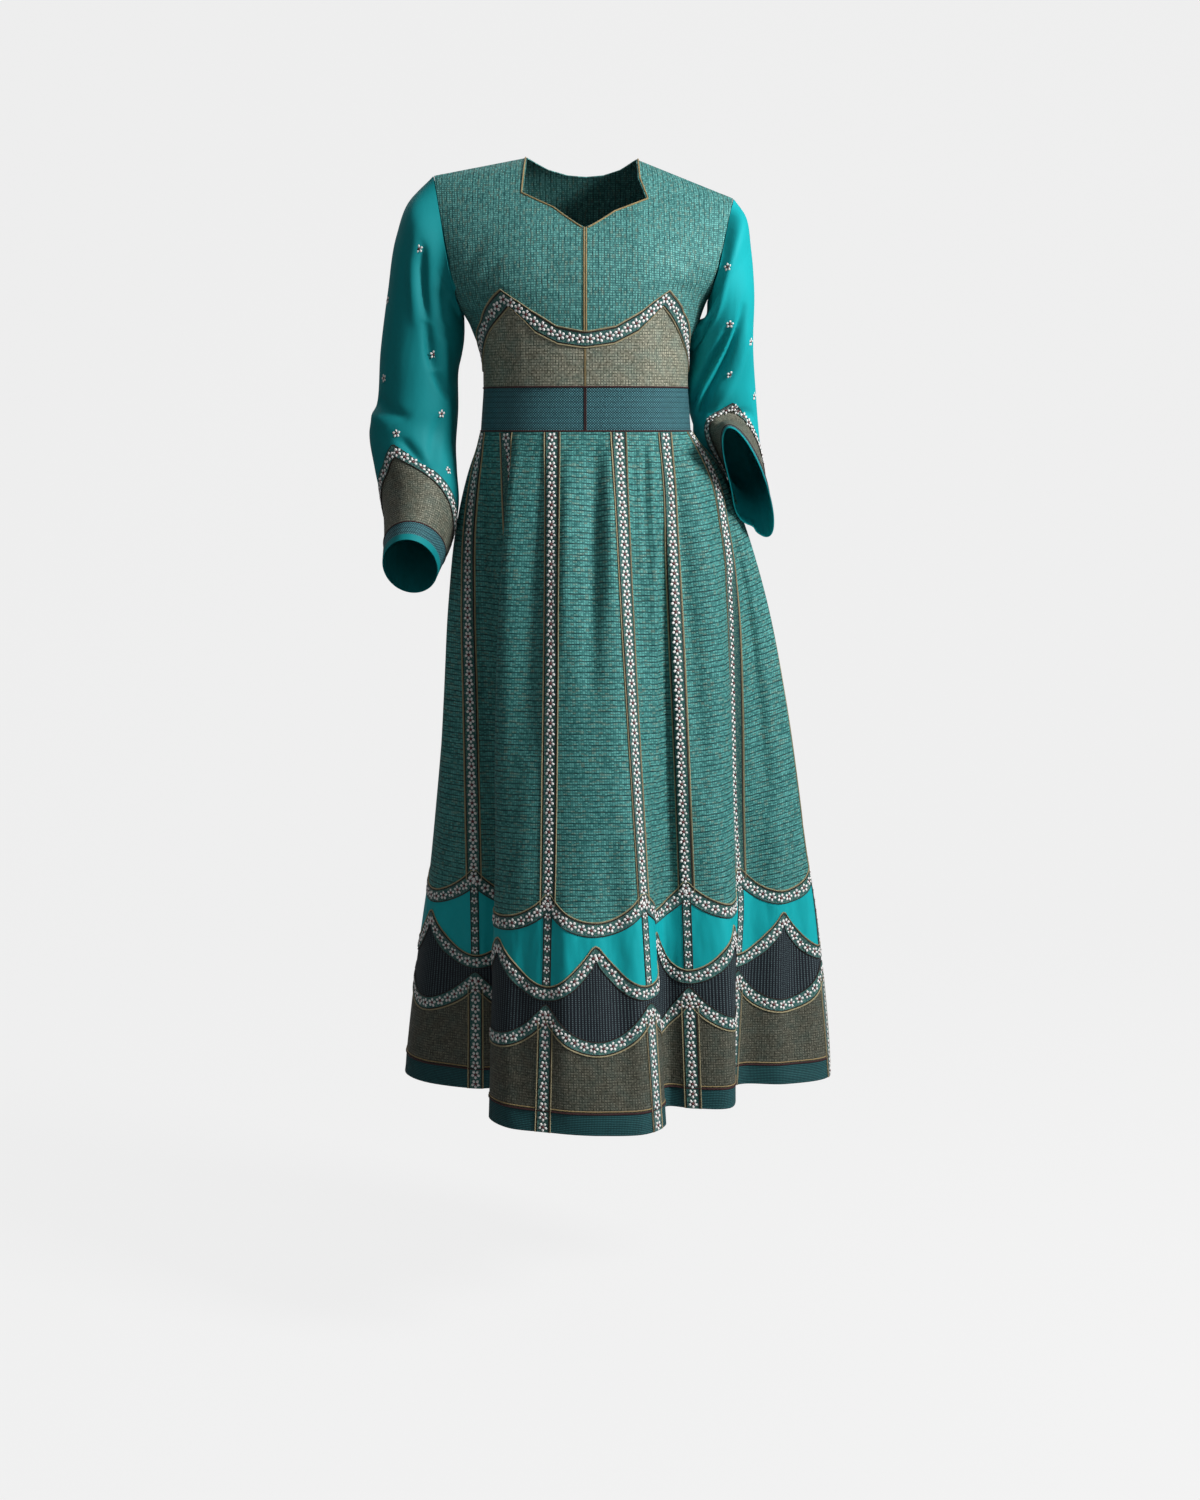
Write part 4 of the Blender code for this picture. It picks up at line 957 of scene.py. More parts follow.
SLEEVE_CREASES = {
    "left": [
        # start girth, length, end girth, length, width, height
        (0.066, 0.025, 0.088, 0.095, 0.0060, -0.0073),
        (0.088, 0.095, 0.107, 0.155, 0.0065, -0.0081),
        (0.107, 0.155, 0.133, 0.190, 0.0070, -0.0065),
        (0.052, 0.030, 0.074, 0.110, 0.0065, 0.0028),
        (0.112, 0.100, 0.126, 0.160, 0.0080, 0.0030),
        (0.100, 0.020, 0.112, 0.080, 0.0070, -0.0036),
        (0.020, 0.198, 0.080, 0.230, 0.0085, -0.0044),
        (0.005, 0.215, 0.060, 0.244, 0.0090, 0.0040),
        (0.070, 0.258, 0.100, 0.310, 0.0080, -0.0068),
        (0.120, 0.215, 0.105, 0.300, 0.0080, -0.0039),
        (0.030, 0.262, 0.050, 0.350, 0.0100, -0.0034),
        (0.045, 0.300, 0.040, 0.360, 0.0090, 0.0020),
        (0.190, 0.140, 0.280, 0.200, 0.0090, -0.0057),
        (0.200, 0.220, 0.300, 0.240, 0.0090, -0.0062),
        (0.215, 0.195, 0.310, 0.215, 0.0090, 0.0032),
        (0.235, 0.035, 0.220, 0.150, 0.0080, -0.0062),
        (0.255, 0.040, 0.245, 0.130, 0.0080, 0.0030),
        (0.185, 0.030, 0.172, 0.110, 0.0080, -0.0052),
    ],
    "right": [
        (0.163, 0.026, 0.163, 0.115, 0.0180, 0.0085),
        (0.074, 0.100, 0.134, 0.205, 0.0075, -0.0105),
        (0.060, 0.098, 0.120, 0.212, 0.0060, 0.0046),
        (0.045, 0.085, 0.122, 0.236, 0.0080, -0.0115),
        (0.032, 0.110, 0.095, 0.240, 0.0085, 0.0040),
        (0.110, 0.060, 0.140, 0.115, 0.0070, -0.0044),
        (0.086, 0.040, 0.120, 0.110, 0.0070, 0.0022),
        (0.018, 0.215, 0.085, 0.248, 0.0080, -0.0036),
        (0.060, 0.250, 0.110, 0.300, 0.0080, -0.0030),
        (0.200, 0.080, 0.290, 0.180, 0.0090, -0.0052),
        (0.205, 0.060, 0.290, 0.150, 0.0080, 0.0030),
        (0.190, 0.150, 0.280, 0.225, 0.0090, -0.0056),
        (0.240, 0.035, 0.225, 0.140, 0.0085, -0.0044),
        (0.160, 0.180, 0.200, 0.260, 0.0090, 0.0028),
        (0.160, 0.228, 0.166, 0.286, 0.0140, 0.0065),
        (0.198, 0.310, 0.212, 0.385, 0.0200, 0.0100),
        (0.226, 0.352, 0.228, 0.390, 0.0060, -0.0040),
    ],
}


def armhole_loop(half, angle):
    """Edge of the armhole: from the shoulder tip (0) down the front to the underarm (half a turn)
    and up the back, on the body's section. Its height goes down with the mean of the turn's share
    and of the share that the turn's cosine gives."""
    front = angle <= np.pi
    turn = np.where(front, angle, 2.0 * np.pi - angle)
    share = 0.5 * (0.5 - 0.5 * np.cos(turn)) + 0.5 * turn / np.pi
    tip_z = half["tip"][1]
    z = tip_z + (half["underarm"] - tip_z) * share
    x = armhole_x(half, z)
    section = np.cos(body_angle(half, x, z)) ** (2.0 / BODY_ROUNDNESS)
    depth = np.where(front, -body_depth(half, x, z, 1), body_depth(half, x, z, 2))
    clear = SLEEVE_CLEAR_TOP + (SLEEVE_CLEAR_UNDERARM - SLEEVE_CLEAR_TOP) * share
    return np.stack([half["side"] * (x + clear), depth * section, z], axis=-1)


def sleeve_surface(name, angle, along):
    """Point of a sleeve: the centre plus the outer half axis times the cosine and the front half
    axis times the sine, on a smooth curve through the armhole and the rings below it."""
    angle, along = np.broadcast_arrays(angle % (2.0 * np.pi), along)
    rings = SLEEVE_RINGS[name]
    cosine, sine = np.cos(angle)[..., None], np.sin(angle)[..., None]
    loops = [armhole_loop(HALVES[name], angle)]
    loops += [ring[0:3] + ring[3:6] * cosine + ring[6:9] * sine for ring in rings]
    stack = np.stack(loops)
    knots = sleeve_knots(name)
    slopes = np.gradient(stack, knots, axis=0)
    at = along * knots[-1]
    low = np.clip(np.searchsorted(knots, at, side="right") - 1, 0, len(knots) - 2)
    span = (knots[low + 1] - knots[low])[..., None]
    share = (at - knots[low])[..., None] / span
    rest = 1.0 - share
    near, far, near_slope, far_slope = [
        np.take_along_axis(table, low[None, ..., None] + step, axis=0)[0]
        for table, step in ((stack, 0), (stack, 1), (slopes, 0), (slopes, 1))]
    return (near * (1.0 + 2.0 * share) * rest ** 2 + near_slope * span * share * rest ** 2
            + far * share ** 2 * (3.0 - 2.0 * share) - far_slope * span * share ** 2 * rest)


def sleeve_knots(name):
    """Lengths along the sleeve's middle line at which its rings lie."""
    start = armhole_loop(HALVES[name], np.linspace(0.0, 2.0 * np.pi, 33)[:-1]).mean(axis=0)
    return run_along(np.concatenate([[start], SLEEVE_RINGS[name][:, 0:3]]))


def sleeve_cloth(name, angle, along):
    """Points and outward normals of a sleeve with its creases, which start past the armhole's
    seam. The normals are cross products of differences."""
    low, high = [np.clip(along + step, 0.0, 1.0) for step in (-LENGTH_STEP, LENGTH_STEP)]
    points = sleeve_surface(name, angle, along)
    round_way = (sleeve_surface(name, angle + TURN_STEP, along)
                 - sleeve_surface(name, angle - TURN_STEP, along))
    down = sleeve_surface(name, angle, high) - sleeve_surface(name, angle, low)
    normals = unit(np.cross(round_way, down)) * HALVES[name]["side"]
    length = sleeve_knots(name)[-1]
    height = creases((angle % (2.0 * np.pi)) * GIRTH_PER_RADIAN, along * length,
                     SLEEVE_CREASES[name])
    height = height * np.clip(along * length / CREASE_START, 0.0, 1.0)
    return points + normals * height[..., None], normals


def satin_paint(painted_light_share, pucker):
    """Crepe satin: one teal with a slow change of tone, the fine grain of crepe yarn, and soft
    upright puckers of the given height share. The first share is painted light and shade: every
    colour of the satin is multiplied by it, so each piece shows as lit or as shaded as the light
    on it."""
    def paint(tree, place, u, v):
        tone = speckle(tree, place, 16.0)
        grain = speckle(tree, place, 1500.0, detail=1.0)
        soft = speckle(tree, place, 55.0, detail=1.0, stretch=(1.0, 0.3))
        colour = blended(tree, tone, toned(painted_light_share, 0.002, 0.340, 0.365),
                         toned(painted_light_share, 0.006, 0.410, 0.440))
        height = socket_math(tree, "MULTIPLY_ADD", soft, pucker,
                             socket_math(tree, "MULTIPLY", grain, 0.03))
        return colour, height, 0.003
    return paint


def closed(points, normals):
    """A line or grid that goes around, with its last column made the same as its first."""
    for values in (points, normals):
        values[..., -1, :] = values[..., 0, :]
    return points, normals


# One satin in two tones: the left sleeve's is painted darker as painted shade, the right sleeve's
# lighter as painted light. The cuff facings and the insides of the cuffs take the same tones.
satin = {
    "left": finish_cloth("teal_satin_left_shaded", 0.68, 0.0, satin_paint(0.56, 0.25), 0.05),
    "right": finish_cloth("teal_satin_right_lit", 0.68, 0.0, satin_paint(0.98, 0.25), 0.05),
}
# The cuff's olive is the olive cloth painted darker: painted shade on the cuffs.
olive_cuff = finish_cloth("olive_cuff_cloth_shaded", 0.55, 0.03, olive_paint(0.46), 0.15)
SLEEVE_FLOWERS = {
    # angle in degrees, share of the length
    "left": [(69, 0.085), (35, 0.411), (132, 0.499), (73, 0.594), (144, 0.705), (116, 0.310),
             (20, 0.24), (200, 0.20), (250, 0.36), (215, 0.55), (290, 0.62), (300, 0.30)],
    "right": [(93, 0.059), (81, 0.268), (28, 0.346), (15, 0.522), (73, 0.444), (300, 0.25),
              (250, 0.40), (210, 0.30), (330, 0.45)],
}
for name in SLEEVE_RINGS:
    length = sleeve_knots(name)[-1]
    angle = np.linspace(0.0, 2.0 * np.pi, 97)
    turn = np.abs((angle - CUFF_POINT_ANGLE + np.pi) % (2.0 * np.pi) - np.pi) / np.pi
    rise = (CUFF_POINT_HIGH - CUFF_POINT_LOW) * (1.0 - turn) ** CUFF_POINT_CURVE
    point = 1.0 - (CUFF_POINT_LOW + rise) / length
    ones = np.ones_like(angle)
    lines = [0.0 * ones, point, ones * (1.0 - CUFF_BAND / length),
             ones * (1.0 - CUFF_EDGE / length), ones]
    teal = satin[name]
    parts = [
        # name, rows, material, slot, inner face
        ("sleeve", 90, teal, "teal_satin", None),
        ("cuff_point", 24, olive_cuff, "olive_cloth", teal),
        ("cuff_band", 6, band_weave, "waistband_weave", teal),
        ("cuff_edge", 4, teal, "teal_satin", None),
    ]
    made = {}
    for number, (part, rows, material, slot, inner) in enumerate(parts):
        share = np.linspace(0.0, 1.0, rows + 1)[:, None]
        along = lines[number] + (lines[number + 1] - lines[number]) * share
        points, normals = closed(*sleeve_cloth(name, angle[None] + 0.0 * along, along))
        uv = np.stack([angle[None] * GIRTH_PER_RADIAN + 0.0 * along, along * length], axis=-1)
        piece = make_cloth(f"{part}_{name}_cloth", points, normals, uv, SATIN_THICK, 0.0, True)
        dress_up(piece, material, slot, f"{part}_{name}", inner=inner)
        made[part] = piece, points

    def beside(offset, name=name, angle=angle, point=point, length=length):
        rise = np.hypot(1.0, (CUFF_POINT_HIGH - CUFF_POINT_LOW) / np.pi / GIRTH_PER_RADIAN)
        return closed(*sleeve_cloth(name, angle, point - offset * rise / length))
    ribbon = make_ribbon(f"cuff_ribbon_{name}_cloth", beside, ribbon_profile(False, False), True)
    dress_up(ribbon, ribbon_cloth, "daisy_ribbon", f"cuff_ribbon_{name}")
    flowers = make_flowers(f"cuff_flowers_{name}", [flower_spots(*beside(0.0))])
    spots = np.array(SLEEVE_FLOWERS[name])
    place, up = sleeve_cloth(name, np.radians(spots[:, 0]), spots[:, 1])
    ahead = unit(np.cross(up, SPRIG_FACING))
    sprigs = make_flowers(f"sleeve_flowers_{name}", [(place, up, ahead)], SPRIG_SIZE, SPRIG_LIFT)
    declare_cut(*made["sleeve"], "hung", [sprigs])
    declare_cut(*made["cuff_point"], "hung", [ribbon, flowers])
    line, up = closed(*sleeve_cloth(name, angle, lines[2]))
    cord = make_piping(f"cuff_cord_{name}", line, up, CUFF_CORD_RADIUS, SATIN_THICK, dark_cord,
                       around=True)
    declare_cut(*made["cuff_band"], "hung", [cord])
    declare_cut(*made["cuff_edge"], "hung")

# Skirt: twelve flared brocade gores, then satin, navy and olive rows cut as fish scales and a dark
# hem band. Daisy ribbons run down every gore seam and along the scales.
GORES = 12
SKIRT_TOP = -0.3373
HEM = -1.1900
SKIRT_FULLNESS = np.array([
    # fall, left, right, front, back
    (0.00, 0.000, 0.000, 0.000, 0.000), (0.07, 0.012, 0.028, 0.008, 0.008),
    (0.14, 0.019, 0.036, 0.014, 0.014), (0.25, 0.020, 0.042, 0.016, 0.017),
    (0.40, 0.015, 0.040, 0.014, 0.016), (0.55, 0.010, 0.034, 0.011, 0.012),
    (0.712, 0.005, 0.027, 0.006, 0.007), (0.85, 0.002, 0.014, 0.003, 0.003),
    (1.00, 0.000, 0.000, 0.000, 0.000),
])
SIDE_FULLNESS_POWER = 5.0
DEPTH_GROWTH = 0.9
HEM_PLAN = np.array([
    # gore, x, y, late
    (-5.90, 0.020, 0.170, 1.0), (-5.50, -0.018, 0.212, 1.0), (-5.10, -0.072, 0.214, 1.0),
    (-4.75, -0.105, 0.172, 1.0), (-4.45, -0.140, 0.138, 1.0), (-4.05, -0.198, 0.146, 1.0),
    (-3.60, -0.236, 0.098, 1.2), (-3.17, -0.240, 0.032, 1.2), (-2.85, -0.208, -0.006, 1.1),
    (-2.50, -0.145, -0.030, 1.0), (-2.12, -0.090, -0.020, 0.9), (-1.80, -0.066, -0.040, 0.8),
    (-1.50, -0.082, -0.078, 0.7), (-1.11, -0.121, -0.142, 0.6), (-0.80, -0.096, -0.188, 1.2),
    (-0.50, -0.052, -0.204, 2.4), (0.00, 0.020, -0.219, 1.4), (0.42, 0.080, -0.208, 1.2),
    (0.62, 0.098, -0.180, 1.1), (0.95, 0.091, -0.132, 1.1), (1.22, 0.104, -0.103, 1.2),
    (1.50, 0.137, -0.112, 1.3), (1.85, 0.184, -0.110, 1.0), (2.10, 0.192, -0.072, 0.8),
    (2.40, 0.184, -0.030, 0.7), (2.65, 0.206, -0.010, 0.7), (3.00, 0.262, -0.012, 0.8),
    (3.45, 0.322, 0.020, 0.85), (3.80, 0.316, 0.072, 0.9), (4.20, 0.256, 0.092, 1.0),
    (4.50, 0.222, 0.124, 1.0), (4.95, 0.190, 0.182, 1.0), (5.30, 0.136, 0.204, 1.0),
    (5.70, 0.078, 0.178, 1.0),
])
SATIN_ROW = (0.6690, 0.7060)
NAVY_ROW = (0.8007, 0.7397)
OLIVE_ROW = (0.8243, 0.8752)
BAND_ROW = 0.9690
SCALE_ROUND = 2.0
SEAM_RIBBON = (0.002, SATIN_ROW[0] + 0.004)
TAB_GAP = 0.012
NARROW_FLOWER_SIZE = 0.0098
RIBBON_STEPS = 32
HEM_CORD_LIFT = 0.0015
GORE_TOP_WIDTH = 0.062
GORE_HEM_WIDTH = 0.150
PAST_HEM = 1.02
WEAVE_STRETCH = 1.02
FALL_STRETCH = 6.0
FOLD_START = 0.04
FALL_STEP = 0.01
GORE_STEP = 0.03
SLANT_STEP = 0.01
SKIRT_CREASES = [
    # start gore, fall times six, end gore, fall times six, width in gores, height
    (1.34, 0.80, 1.36, 4.10, 0.09, -0.0120),
    (1.04, 0.60, 1.06, 3.90, 0.10, 0.0060),
    (-1.28, 0.80, -1.30, 3.90, 0.09, -0.0100),
    (-1.02, 0.60, -1.02, 3.80, 0.10, 0.0050),
    (1.00, 0.05, 0.98, 1.30, 0.07, -0.0050),
    (2.45, 1.20, 2.50, 4.20, 0.11, -0.0100),
    (4.10, 1.00, 4.15, 4.20, 0.10, -0.0080),
    (-4.60, 1.00, -4.65, 4.00, 0.10, -0.0080),
    (-5.60, 1.20, -5.65, 4.00, 0.10, -0.0070),
    (0.12, 0.10, 0.02, 2.30, 0.10, -0.0088),
    (0.34, 0.05, 0.28, 1.60, 0.09, 0.0054),
    (-0.22, 0.10, -0.30, 1.90, 0.10, 0.0045),
    (-0.70, 0.20, -0.78, 2.80, 0.12, -0.0070),
    (-1.10, 0.15, -1.22, 3.40, 0.12, 0.0069),
    (-1.42, 0.05, -1.60, 3.20, 0.12, -0.0105),
    (-2.20, 0.10, -2.30, 3.20, 0.14, -0.0070),
    (-2.85, 0.20, -2.90, 3.60, 0.15, 0.0060),
    (0.78, 0.10, 0.72, 2.90, 0.10, -0.0077),
    (1.12, 0.05, 1.06, 2.00, 0.09, 0.0051),
    (1.62, 0.05, 1.75, 3.30, 0.12, -0.0070),
    (1.95, 0.10, 2.05, 3.10, 0.11, 0.0051),
    (2.75, 0.10, 2.90, 3.50, 0.13, -0.0080),
    (3.30, 0.15, 3.35, 3.60, 0.14, 0.0054),
    (3.95, 0.10, 4.05, 3.20, 0.13, -0.0080),
    (4.45, 0.10, 4.60, 3.40, 0.13, 0.0060),
    (5.15, 0.15, 5.20, 3.30, 0.13, -0.0077),
    (5.75, 0.10, 5.85, 2.80, 0.12, 0.0057),
    (-3.60, 0.10, -3.70, 3.20, 0.13, -0.0070),
    (-4.20, 0.10, -4.30, 3.20, 0.13, 0.0060),
    (-4.85, 0.15, -4.95, 3.10, 0.13, -0.0077),
    (-5.35, 0.10, -5.30, 3.30, 0.12, 0.0054),
    (0.18, 3.40, 0.22, 5.90, 0.14, -0.0088),
    (-0.28, 3.80, -0.30, 5.95, 0.13, 0.0060),
    (-0.75, 4.00, -0.72, 5.95, 0.10, -0.0063),
    (1.90, 3.90, 1.88, 5.95, 0.10, 0.0045),
    (3.15, 4.00, 3.10, 5.95, 0.16, -0.0088),
    (3.60, 4.10, 3.62, 5.95, 0.14, 0.0051),
    (-2.75, 4.00, -2.72, 5.95, 0.15, -0.0077),
    (-3.40, 4.10, -3.42, 5.95, 0.14, 0.0054),
    (4.70, 4.00, 4.75, 5.95, 0.15, -0.0077),
    (-5.25, 4.00, -5.22, 5.95, 0.15, -0.0077),
]


def skirt_surface(gore, fall):
    """Point of the skirt: x goes from the waist section to the hem plan with the fall to the
    power late, y with its own power, and both stand out by the fullness on the way."""
    fall = np.clip(fall, 0.0, PAST_HEM)
    angle = gore * 2.0 * np.pi / GORES
    sine, cosine = np.sin(angle), np.cos(angle)
    power = 2.0 / BODY_ROUNDNESS
    depth = np.where(cosine < 0.0, BODY_DEPTH[-1, 2], BODY_DEPTH[-1, 1])
    waist_x = WAISTBAND_LOW_HALF_WIDTH * np.sign(sine) * np.abs(sine) ** power
    waist_y = -depth * np.sign(cosine) * np.abs(cosine) ** power
    plan = np.concatenate([HEM_PLAN[-3:] - [GORES, 0, 0, 0], HEM_PLAN,
                           HEM_PLAN[:3] + [GORES, 0, 0, 0]])
    hem_x, hem_y, late = np.moveaxis(through(plan[:, 0], plan[:, 1:], gore), -1, 0)
    left, right, front, back = np.moveaxis(
        through(SKIRT_FULLNESS[:, 0], SKIRT_FULLNESS[:, 1:], fall), -1, 0)
    sideways = np.where(sine < 0.0, -left, right) * np.abs(sine) ** SIDE_FULLNESS_POWER
    forward = np.where(cosine < 0.0, back, -front) * cosine ** 2
    x = waist_x + (hem_x - waist_x) * fall ** late + sideways
    y = waist_y + (hem_y - waist_y) * fall ** DEPTH_GROWTH + forward
    return np.stack([x, y, SKIRT_TOP + (HEM - SKIRT_TOP) * fall], axis=-1)


def skirt_cloth(gore, fall):
    """Points and outward normals of the skirt with its soft folds, which start below the waist
    and go on round the back. The normals are cross products of differences."""
    gore, fall = np.broadcast_arrays(gore, fall)
    low, high = [np.clip(fall + step, 0.0, 1.0) for step in (-FALL_STEP, FALL_STEP)]
    across = skirt_surface(gore + GORE_STEP, fall) - skirt_surface(gore - GORE_STEP, fall)
    down = skirt_surface(gore, high) - skirt_surface(gore, low)
    normals = unit(np.cross(down, across))
    turned = (gore + 0.5 * GORES) % GORES - 0.5 * GORES
    height = sum(creases(turned + shift, fall * FALL_STRETCH, SKIRT_CREASES)
                 for shift in (-GORES, 0, GORES))
    height = height * np.clip(fall / FOLD_START, 0.0, 1.0)
    return skirt_surface(gore, fall) + normals * height[..., None], normals


def scale_row(row, gore):
    """Share of the fall of a scalloped row: from its seam value to its middle value, as a power
    of the way from whichever is lower."""
    at_seam, at_middle = row
    seamward = 2.0 * np.abs(gore - np.round(gore))
    if at_middle > at_seam:
        return at_seam + (at_middle - at_seam) * (1.0 - seamward ** SCALE_ROUND)
    return at_middle + (at_seam - at_middle) * (1.0 - (1.0 - seamward) ** SCALE_ROUND)


def scale_slant(row, gore):
    """Fall for each metre across a row's ribbon. It grows where the row is steep, so that the
    ribbon's width stays true: by the root of one plus the square of the slope."""
    rise = scale_row(row, gore + SLANT_STEP) - scale_row(row, gore - SLANT_STEP)
    fall = scale_row(row, gore)
    width = GORE_TOP_WIDTH + (GORE_HEM_WIDTH - GORE_TOP_WIDTH) * fall
    steep = np.clip(np.abs(rise / (2.0 * SLANT_STEP)) * (SKIRT_TOP - HEM) / width, 0.0, 1.0)
    return np.sqrt(1.0 + steep ** 2) / (SKIRT_TOP - HEM)


def navy_paint(tree, place, u, v):
    """Navy cloth with upright rows of teal dashes, 4.2 mm apart, each dash 1.6 mm long."""
    rows = stripes(tree, u, 0.0042, 0.0016, 0.5)
    dashes = stripes(tree, v, 0.0026, 0.0016, 0.5)
    marks = socket_math(tree, "MULTIPLY", rows, dashes)
    tone = speckle(tree, place, 160.0)
    ground = blended(tree, tone, (0.004, 0.006, 0.010), (0.010, 0.014, 0.020))
    colour = blended(tree, marks, ground, (0.075, 0.115, 0.125))
    return colour, marks, 0.0004


def hem_paint(tree, place, u, v):
    """Hem band: dark teal with level lines of small dots, 2.2 mm apart."""
    lines = stripes(tree, v, 0.0022, 0.0009, 0.6)
    dots = stripes(tree, u, 0.0019, 0.0010, 0.6)
    tone = speckle(tree, place, 90.0)
    ground = blended(tree, tone, (0.004, 0.024, 0.030), (0.008, 0.050, 0.056))
    colour = blended(tree, socket_math(tree, "MULTIPLY", lines, dots), ground,
                     (0.030, 0.150, 0.155))
    return colour, lines, 0.0003


def seam_place(number):
    """Place of a gore's first seam, in gores from the centre front."""
    return number - 0.5 * GORES + 0.5


def seam_beside(seam, fall):
    """The cloth beside a gore seam: a metre of offset is one over the gore's local width."""
    ends = [skirt_surface(seam + step, fall) for step in (-SLANT_STEP, SLANT_STEP)]
    width = np.linalg.norm(ends[1] - ends[0], axis=-1) / (2.0 * SLANT_STEP)

    def beside(offset):
        return skirt_cloth(seam + offset / width, fall)
    return beside


skirt_brocade = finish_cloth(
    "skirt_brocade", 0.6, 0.03,
    brocade_paint(1, (0.024, 0.150, 0.142), (0.110, 0.390, 0.360), 0.66, 0.45), 0.1)
satin_row = finish_cloth("teal_satin_row", 0.5, 0.0, satin_paint(0.95, 1.0), 0.1)
navy = finish_cloth("navy_cloth", 0.65, 0.02, navy_paint)
# The hem row's olive is the olive cloth painted darkest: painted shade low on the skirt.
olive_row = finish_cloth("olive_row_cloth_shaded", 0.55, 0.03, olive_paint(0.31), 0.15)
hem_cloth = finish_cloth("hem_weave", 0.65, 0.02, hem_paint)
gore_pieces = []
for number in range(GORES):
    middle = seam_place(number) + 0.5
    gore = middle + np.linspace(-0.5, 0.5, 25)[None]
    share = np.linspace(0.0, 1.0, 111)[:, None]
    fall = share * scale_row(SATIN_ROW, gore)
    gore = gore + 0.0 * fall
    points, normals = skirt_cloth(gore, fall)
    u = way(skirt_surface, (middle + 0.0 * gore, fall), (gore, fall)) * np.sign(gore - middle)
    v = way(skirt_surface, (gore, 0.0 * fall), (gore, fall))
    piece = make_cloth(f"gore_{number + 1:02d}_cloth", points, normals,
                       np.stack([u, -v], axis=-1), BROCADE_THICK)
    dress_up(piece, skirt_brocade, "teal_brocade", f"gore_{number + 1:02d}")
    gore_pieces.append((piece, points))
rings = {}
around_gore = np.linspace(seam_place(0), seam_place(GORES), 24 * GORES + 1)
for part, top, low, rows, material, slot in [
        ("satin_scales", SATIN_ROW, NAVY_ROW, 20, satin_row, "teal_satin"),
        ("navy_scales", NAVY_ROW, OLIVE_ROW, 20, navy, "navy_cloth"),
        ("olive_scales", OLIVE_ROW, (BAND_ROW, BAND_ROW), 24, olive_row, "olive_cloth"),
        ("hem_band", (BAND_ROW, BAND_ROW), (1.0, 1.0), 6, hem_cloth, "waistband_weave")]:
    share = np.linspace(0.0, 1.0, rows + 1)[:, None]
    upper, lower = scale_row(top, around_gore), scale_row(low, around_gore)
    fall = upper + (lower - upper) * share
    gore = around_gore + 0.0 * fall
    points, normals = closed(*skirt_cloth(gore, fall))
    run = run_along(points[rows // 2])[None]
    uv = np.stack(np.broadcast_arrays(run, fall * (HEM - SKIRT_TOP) * WEAVE_STRETCH), axis=-1)
    piece = make_cloth(f"{part}_cloth", points, normals, uv, BROCADE_THICK, 0.0, True)
    dress_up(piece, material, slot, part)
    rings[part] = piece, points
for number in range(GORES):
    beside = seam_beside(seam_place(number), np.linspace(*SEAM_RIBBON, 120))
    ribbon = make_ribbon(f"seam_ribbon_{number + 1:02d}_cloth", beside,
                         ribbon_profile(True, True))
    dress_up(ribbon, ribbon_cloth, "daisy_ribbon", f"seam_ribbon_{number + 1:02d}")
    flowers = make_flowers(f"seam_flowers_{number + 1:02d}", [flower_spots(*beside(0.0))])
    piece, points = gore_pieces[number]
    declare_cut(piece, points, "hung", [ribbon, flowers])
ribbon_gore = np.linspace(seam_place(0), seam_place(GORES), RIBBON_STEPS * GORES + 1)
for part, row, gold_up, gold_down, cloth_part, tabs_end in [
        ("satin_ribbon", SATIN_ROW, True, False, "satin_scales", NAVY_ROW[0] - TAB_GAP),
        ("navy_ribbon", NAVY_ROW, True, False, "navy_scales", None),
        ("olive_ribbon", OLIVE_ROW, False, True, "olive_scales", 1.0)]:
    def beside(offset, row=row):
        fall = scale_row(row, ribbon_gore) - offset * scale_slant(row, ribbon_gore)
        return closed(*skirt_cloth(ribbon_gore, fall))
    ribbon = make_ribbon(f"{part}_cloth", beside, ribbon_profile(gold_up, gold_down), True)
    dress_up(ribbon, ribbon_cloth, "daisy_ribbon", part)
    # The line is laid twice, so that the last scale runs on past the joint
    centre, up = [np.concatenate([line, line[1:]]) for line in beside(0.0)]
    first = RIBBON_STEPS // 2 if row is NAVY_ROW else 0
    scales = [slice(start, start + RIBBON_STEPS + 1)
              for start in range(first, len(ribbon_gore) - 1, RIBBON_STEPS)]
    spots = [flower_spots(centre[scale], up[scale]) for scale in scales]
    extras = [ribbon, make_flowers(f"{part}_flowers", spots)]
    if tabs_end is not None:
        wide = part == "olive_ribbon"
        spots = []
        for number in range(GORES):
            tab = seam_beside(seam_place(number), np.linspace(row[0] + TAB_GAP, tabs_end, 30))
            upright = make_ribbon(f"{part}_upright_{number + 1:02d}", tab,
                                  ribbon_profile(wide, wide, not wide))
            dress_up(upright, ribbon_cloth if wide else narrow_ribbon, "daisy_ribbon")
            spots.append(flower_spots(*tab(0.0)))
            extras.append(upright)
        extras.append(make_flowers(f"{part}_upright_flowers", spots,
                                   FLOWER_SIZE if wide else NARROW_FLOWER_SIZE))
    piece, points = rings[cloth_part]
    declare_cut(piece, points, "hung", extras)
piece, points = rings["hem_band"]
cords = []
for cord, fall, radius, material in (("hem_dark_cord", BAND_ROW, 0.0012, dark_cord),
                                     ("hem_gold_cord", BAND_ROW - 0.0035, 0.0007, gold_cord)):
    line, up = closed(*skirt_cloth(around_gore, fall))
    cords.append(make_piping(cord, line, up, radius, HEM_CORD_LIFT, material, around=True))
declare_cut(piece, points, "hung", cords)

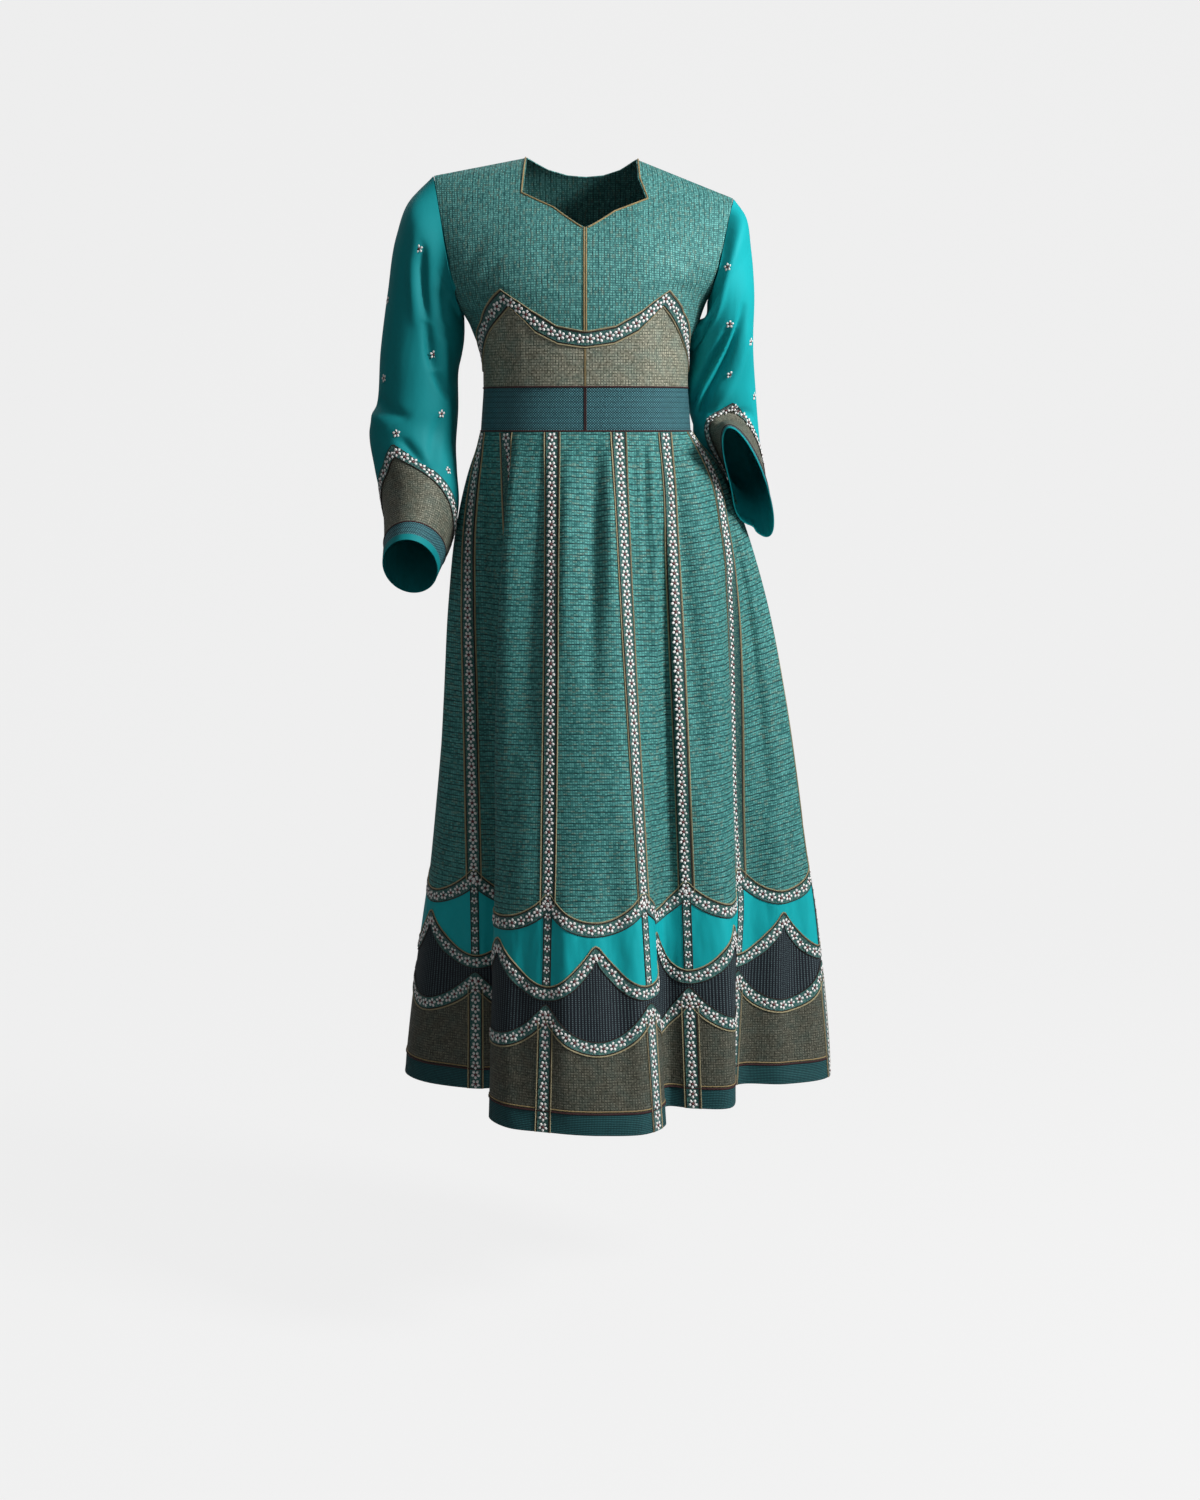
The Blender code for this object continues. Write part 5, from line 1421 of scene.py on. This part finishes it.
# Studio: a pale sweep of floor and wall under soft light, brighter from the viewer's right, and
# the camera at elbow height, tilted a little down.
FLOOR = -1.507
FLOOR_REACH = 9.0
SWEEP_START = 2.2
SWEEP_RADIUS = 1.6
WALL_HEIGHT = 7.0
PAPER = (0.35, 0.35, 0.35)
PAPER_GLOW = 0.98
GLOW_SHARE = 0.85
LIGHTS = [
    # name, place, size, power
    ("key_light", (2.5, -1.45, 1.10), 0.8, 150.0),
    ("fill_light", (-1.2, -3.4, 0.9), 2.4, 6.0),
    ("top_light", (0.3, -1.2, 2.2), 1.6, 9.0),
    ("back_light", (-1.2, 2.4, 1.6), 2.0, 20.0),
]
DRESS_MIDDLE = (0.0, 0.0, -0.65)
AIR = (0.95, 0.96, 1.0)
AIR_GLOW = 0.15
CAMERA_PLACE = (0.018, -2.698, -0.3355)
CAMERA_TILT = 8.64
CAMERA_LENS = 50.57


def pale_surface(name, colour, glow):
    """Matt pale paper that shows evenly lit: seen straight by the camera it glows by its share,
    and for all other rays it is only grey."""
    material, tree, shader = new_surface(name, 0.9)
    shader.inputs["Specular IOR Level"].default_value = 0.1
    place = tree.nodes.new("ShaderNodeTexCoord")
    noise = tree.nodes.new("ShaderNodeTexNoise")
    noise.inputs["Scale"].default_value = 0.8
    tree.links.new(place.outputs["Object"], noise.inputs["Vector"])
    uneven = blended(tree, noise.outputs[0], toned(0.985, *colour), colour)
    tree.links.new(uneven, shader.inputs["Base Color"])
    light = tree.nodes.new("ShaderNodeEmission")
    light.inputs["Color"].default_value = (1.0, 1.0, 1.0, 1.0)
    light.inputs["Strength"].default_value = glow
    seen = tree.nodes.new("ShaderNodeLightPath")
    mix = tree.nodes.new("ShaderNodeMixShader")
    share = socket_math(tree, "MULTIPLY", seen.outputs["Is Camera Ray"], GLOW_SHARE)
    tree.links.new(share, mix.inputs[0])
    tree.links.new(shader.outputs[0], mix.inputs[1])
    tree.links.new(light.outputs[0], mix.inputs[2])
    tree.links.new(mix.outputs[0], tree.nodes["Material Output"].inputs["Surface"])
    return material


sweep = np.linspace(0.0, 0.5 * np.pi, 13)
profile_y = np.concatenate([[-FLOOR_REACH], SWEEP_START + SWEEP_RADIUS * np.sin(sweep),
                            [SWEEP_START + SWEEP_RADIUS]])
profile_z = FLOOR + np.concatenate([[0.0], SWEEP_RADIUS * (1.0 - np.cos(sweep)), [WALL_HEIGHT]])
floor_points = np.stack([np.stack([x + 0.0 * profile_y, profile_y, profile_z], -1)
                         for x in (-FLOOR_REACH, 0.0, FLOOR_REACH)])
floor_mesh = bpy.data.meshes.new("studio_floor")
floor_index = np.arange(3 * len(profile_y)).reshape(3, -1)
floor_faces = np.stack([floor_index[:-1, :-1], floor_index[1:, :-1], floor_index[1:, 1:],
                        floor_index[:-1, 1:]], -1).reshape(-1, 4)
floor_mesh.from_pydata(floor_points.reshape(-1, 3).tolist(), [], floor_faces.tolist())
floor_mesh.shade_smooth()
floor_mesh.materials.append(pale_surface("studio_paper", PAPER, PAPER_GLOW))
placed("studio_floor", floor_mesh)
for name, place, size, power in LIGHTS:
    light = bpy.data.lights.new(name, "AREA")
    light.energy = power
    light.size = size
    lamp = placed(name, light)
    lamp.location = place
    aim = np.array(DRESS_MIDDLE) - np.array(place)
    lamp.rotation_euler = (np.arctan2(np.hypot(aim[0], aim[1]), -aim[2]), 0.0,
                           np.arctan2(-aim[0], aim[1]))
world = bpy.data.worlds.new("studio_air")
world.use_nodes = True
world.node_tree.nodes["Background"].inputs["Color"].default_value = (*AIR, 1.0)
world.node_tree.nodes["Background"].inputs["Strength"].default_value = AIR_GLOW
bpy.context.scene.world = world
bpy.context.scene.view_settings.view_transform = "Standard"
camera_data = bpy.data.cameras.new("camera")
camera_data.lens = CAMERA_LENS
camera_data.sensor_width = 36.0
camera = placed("camera", camera_data)
camera.location = CAMERA_PLACE
camera.rotation_euler = (np.radians(90.0 - CAMERA_TILT), 0.0, 0.0)
bpy.context.scene.camera = camera
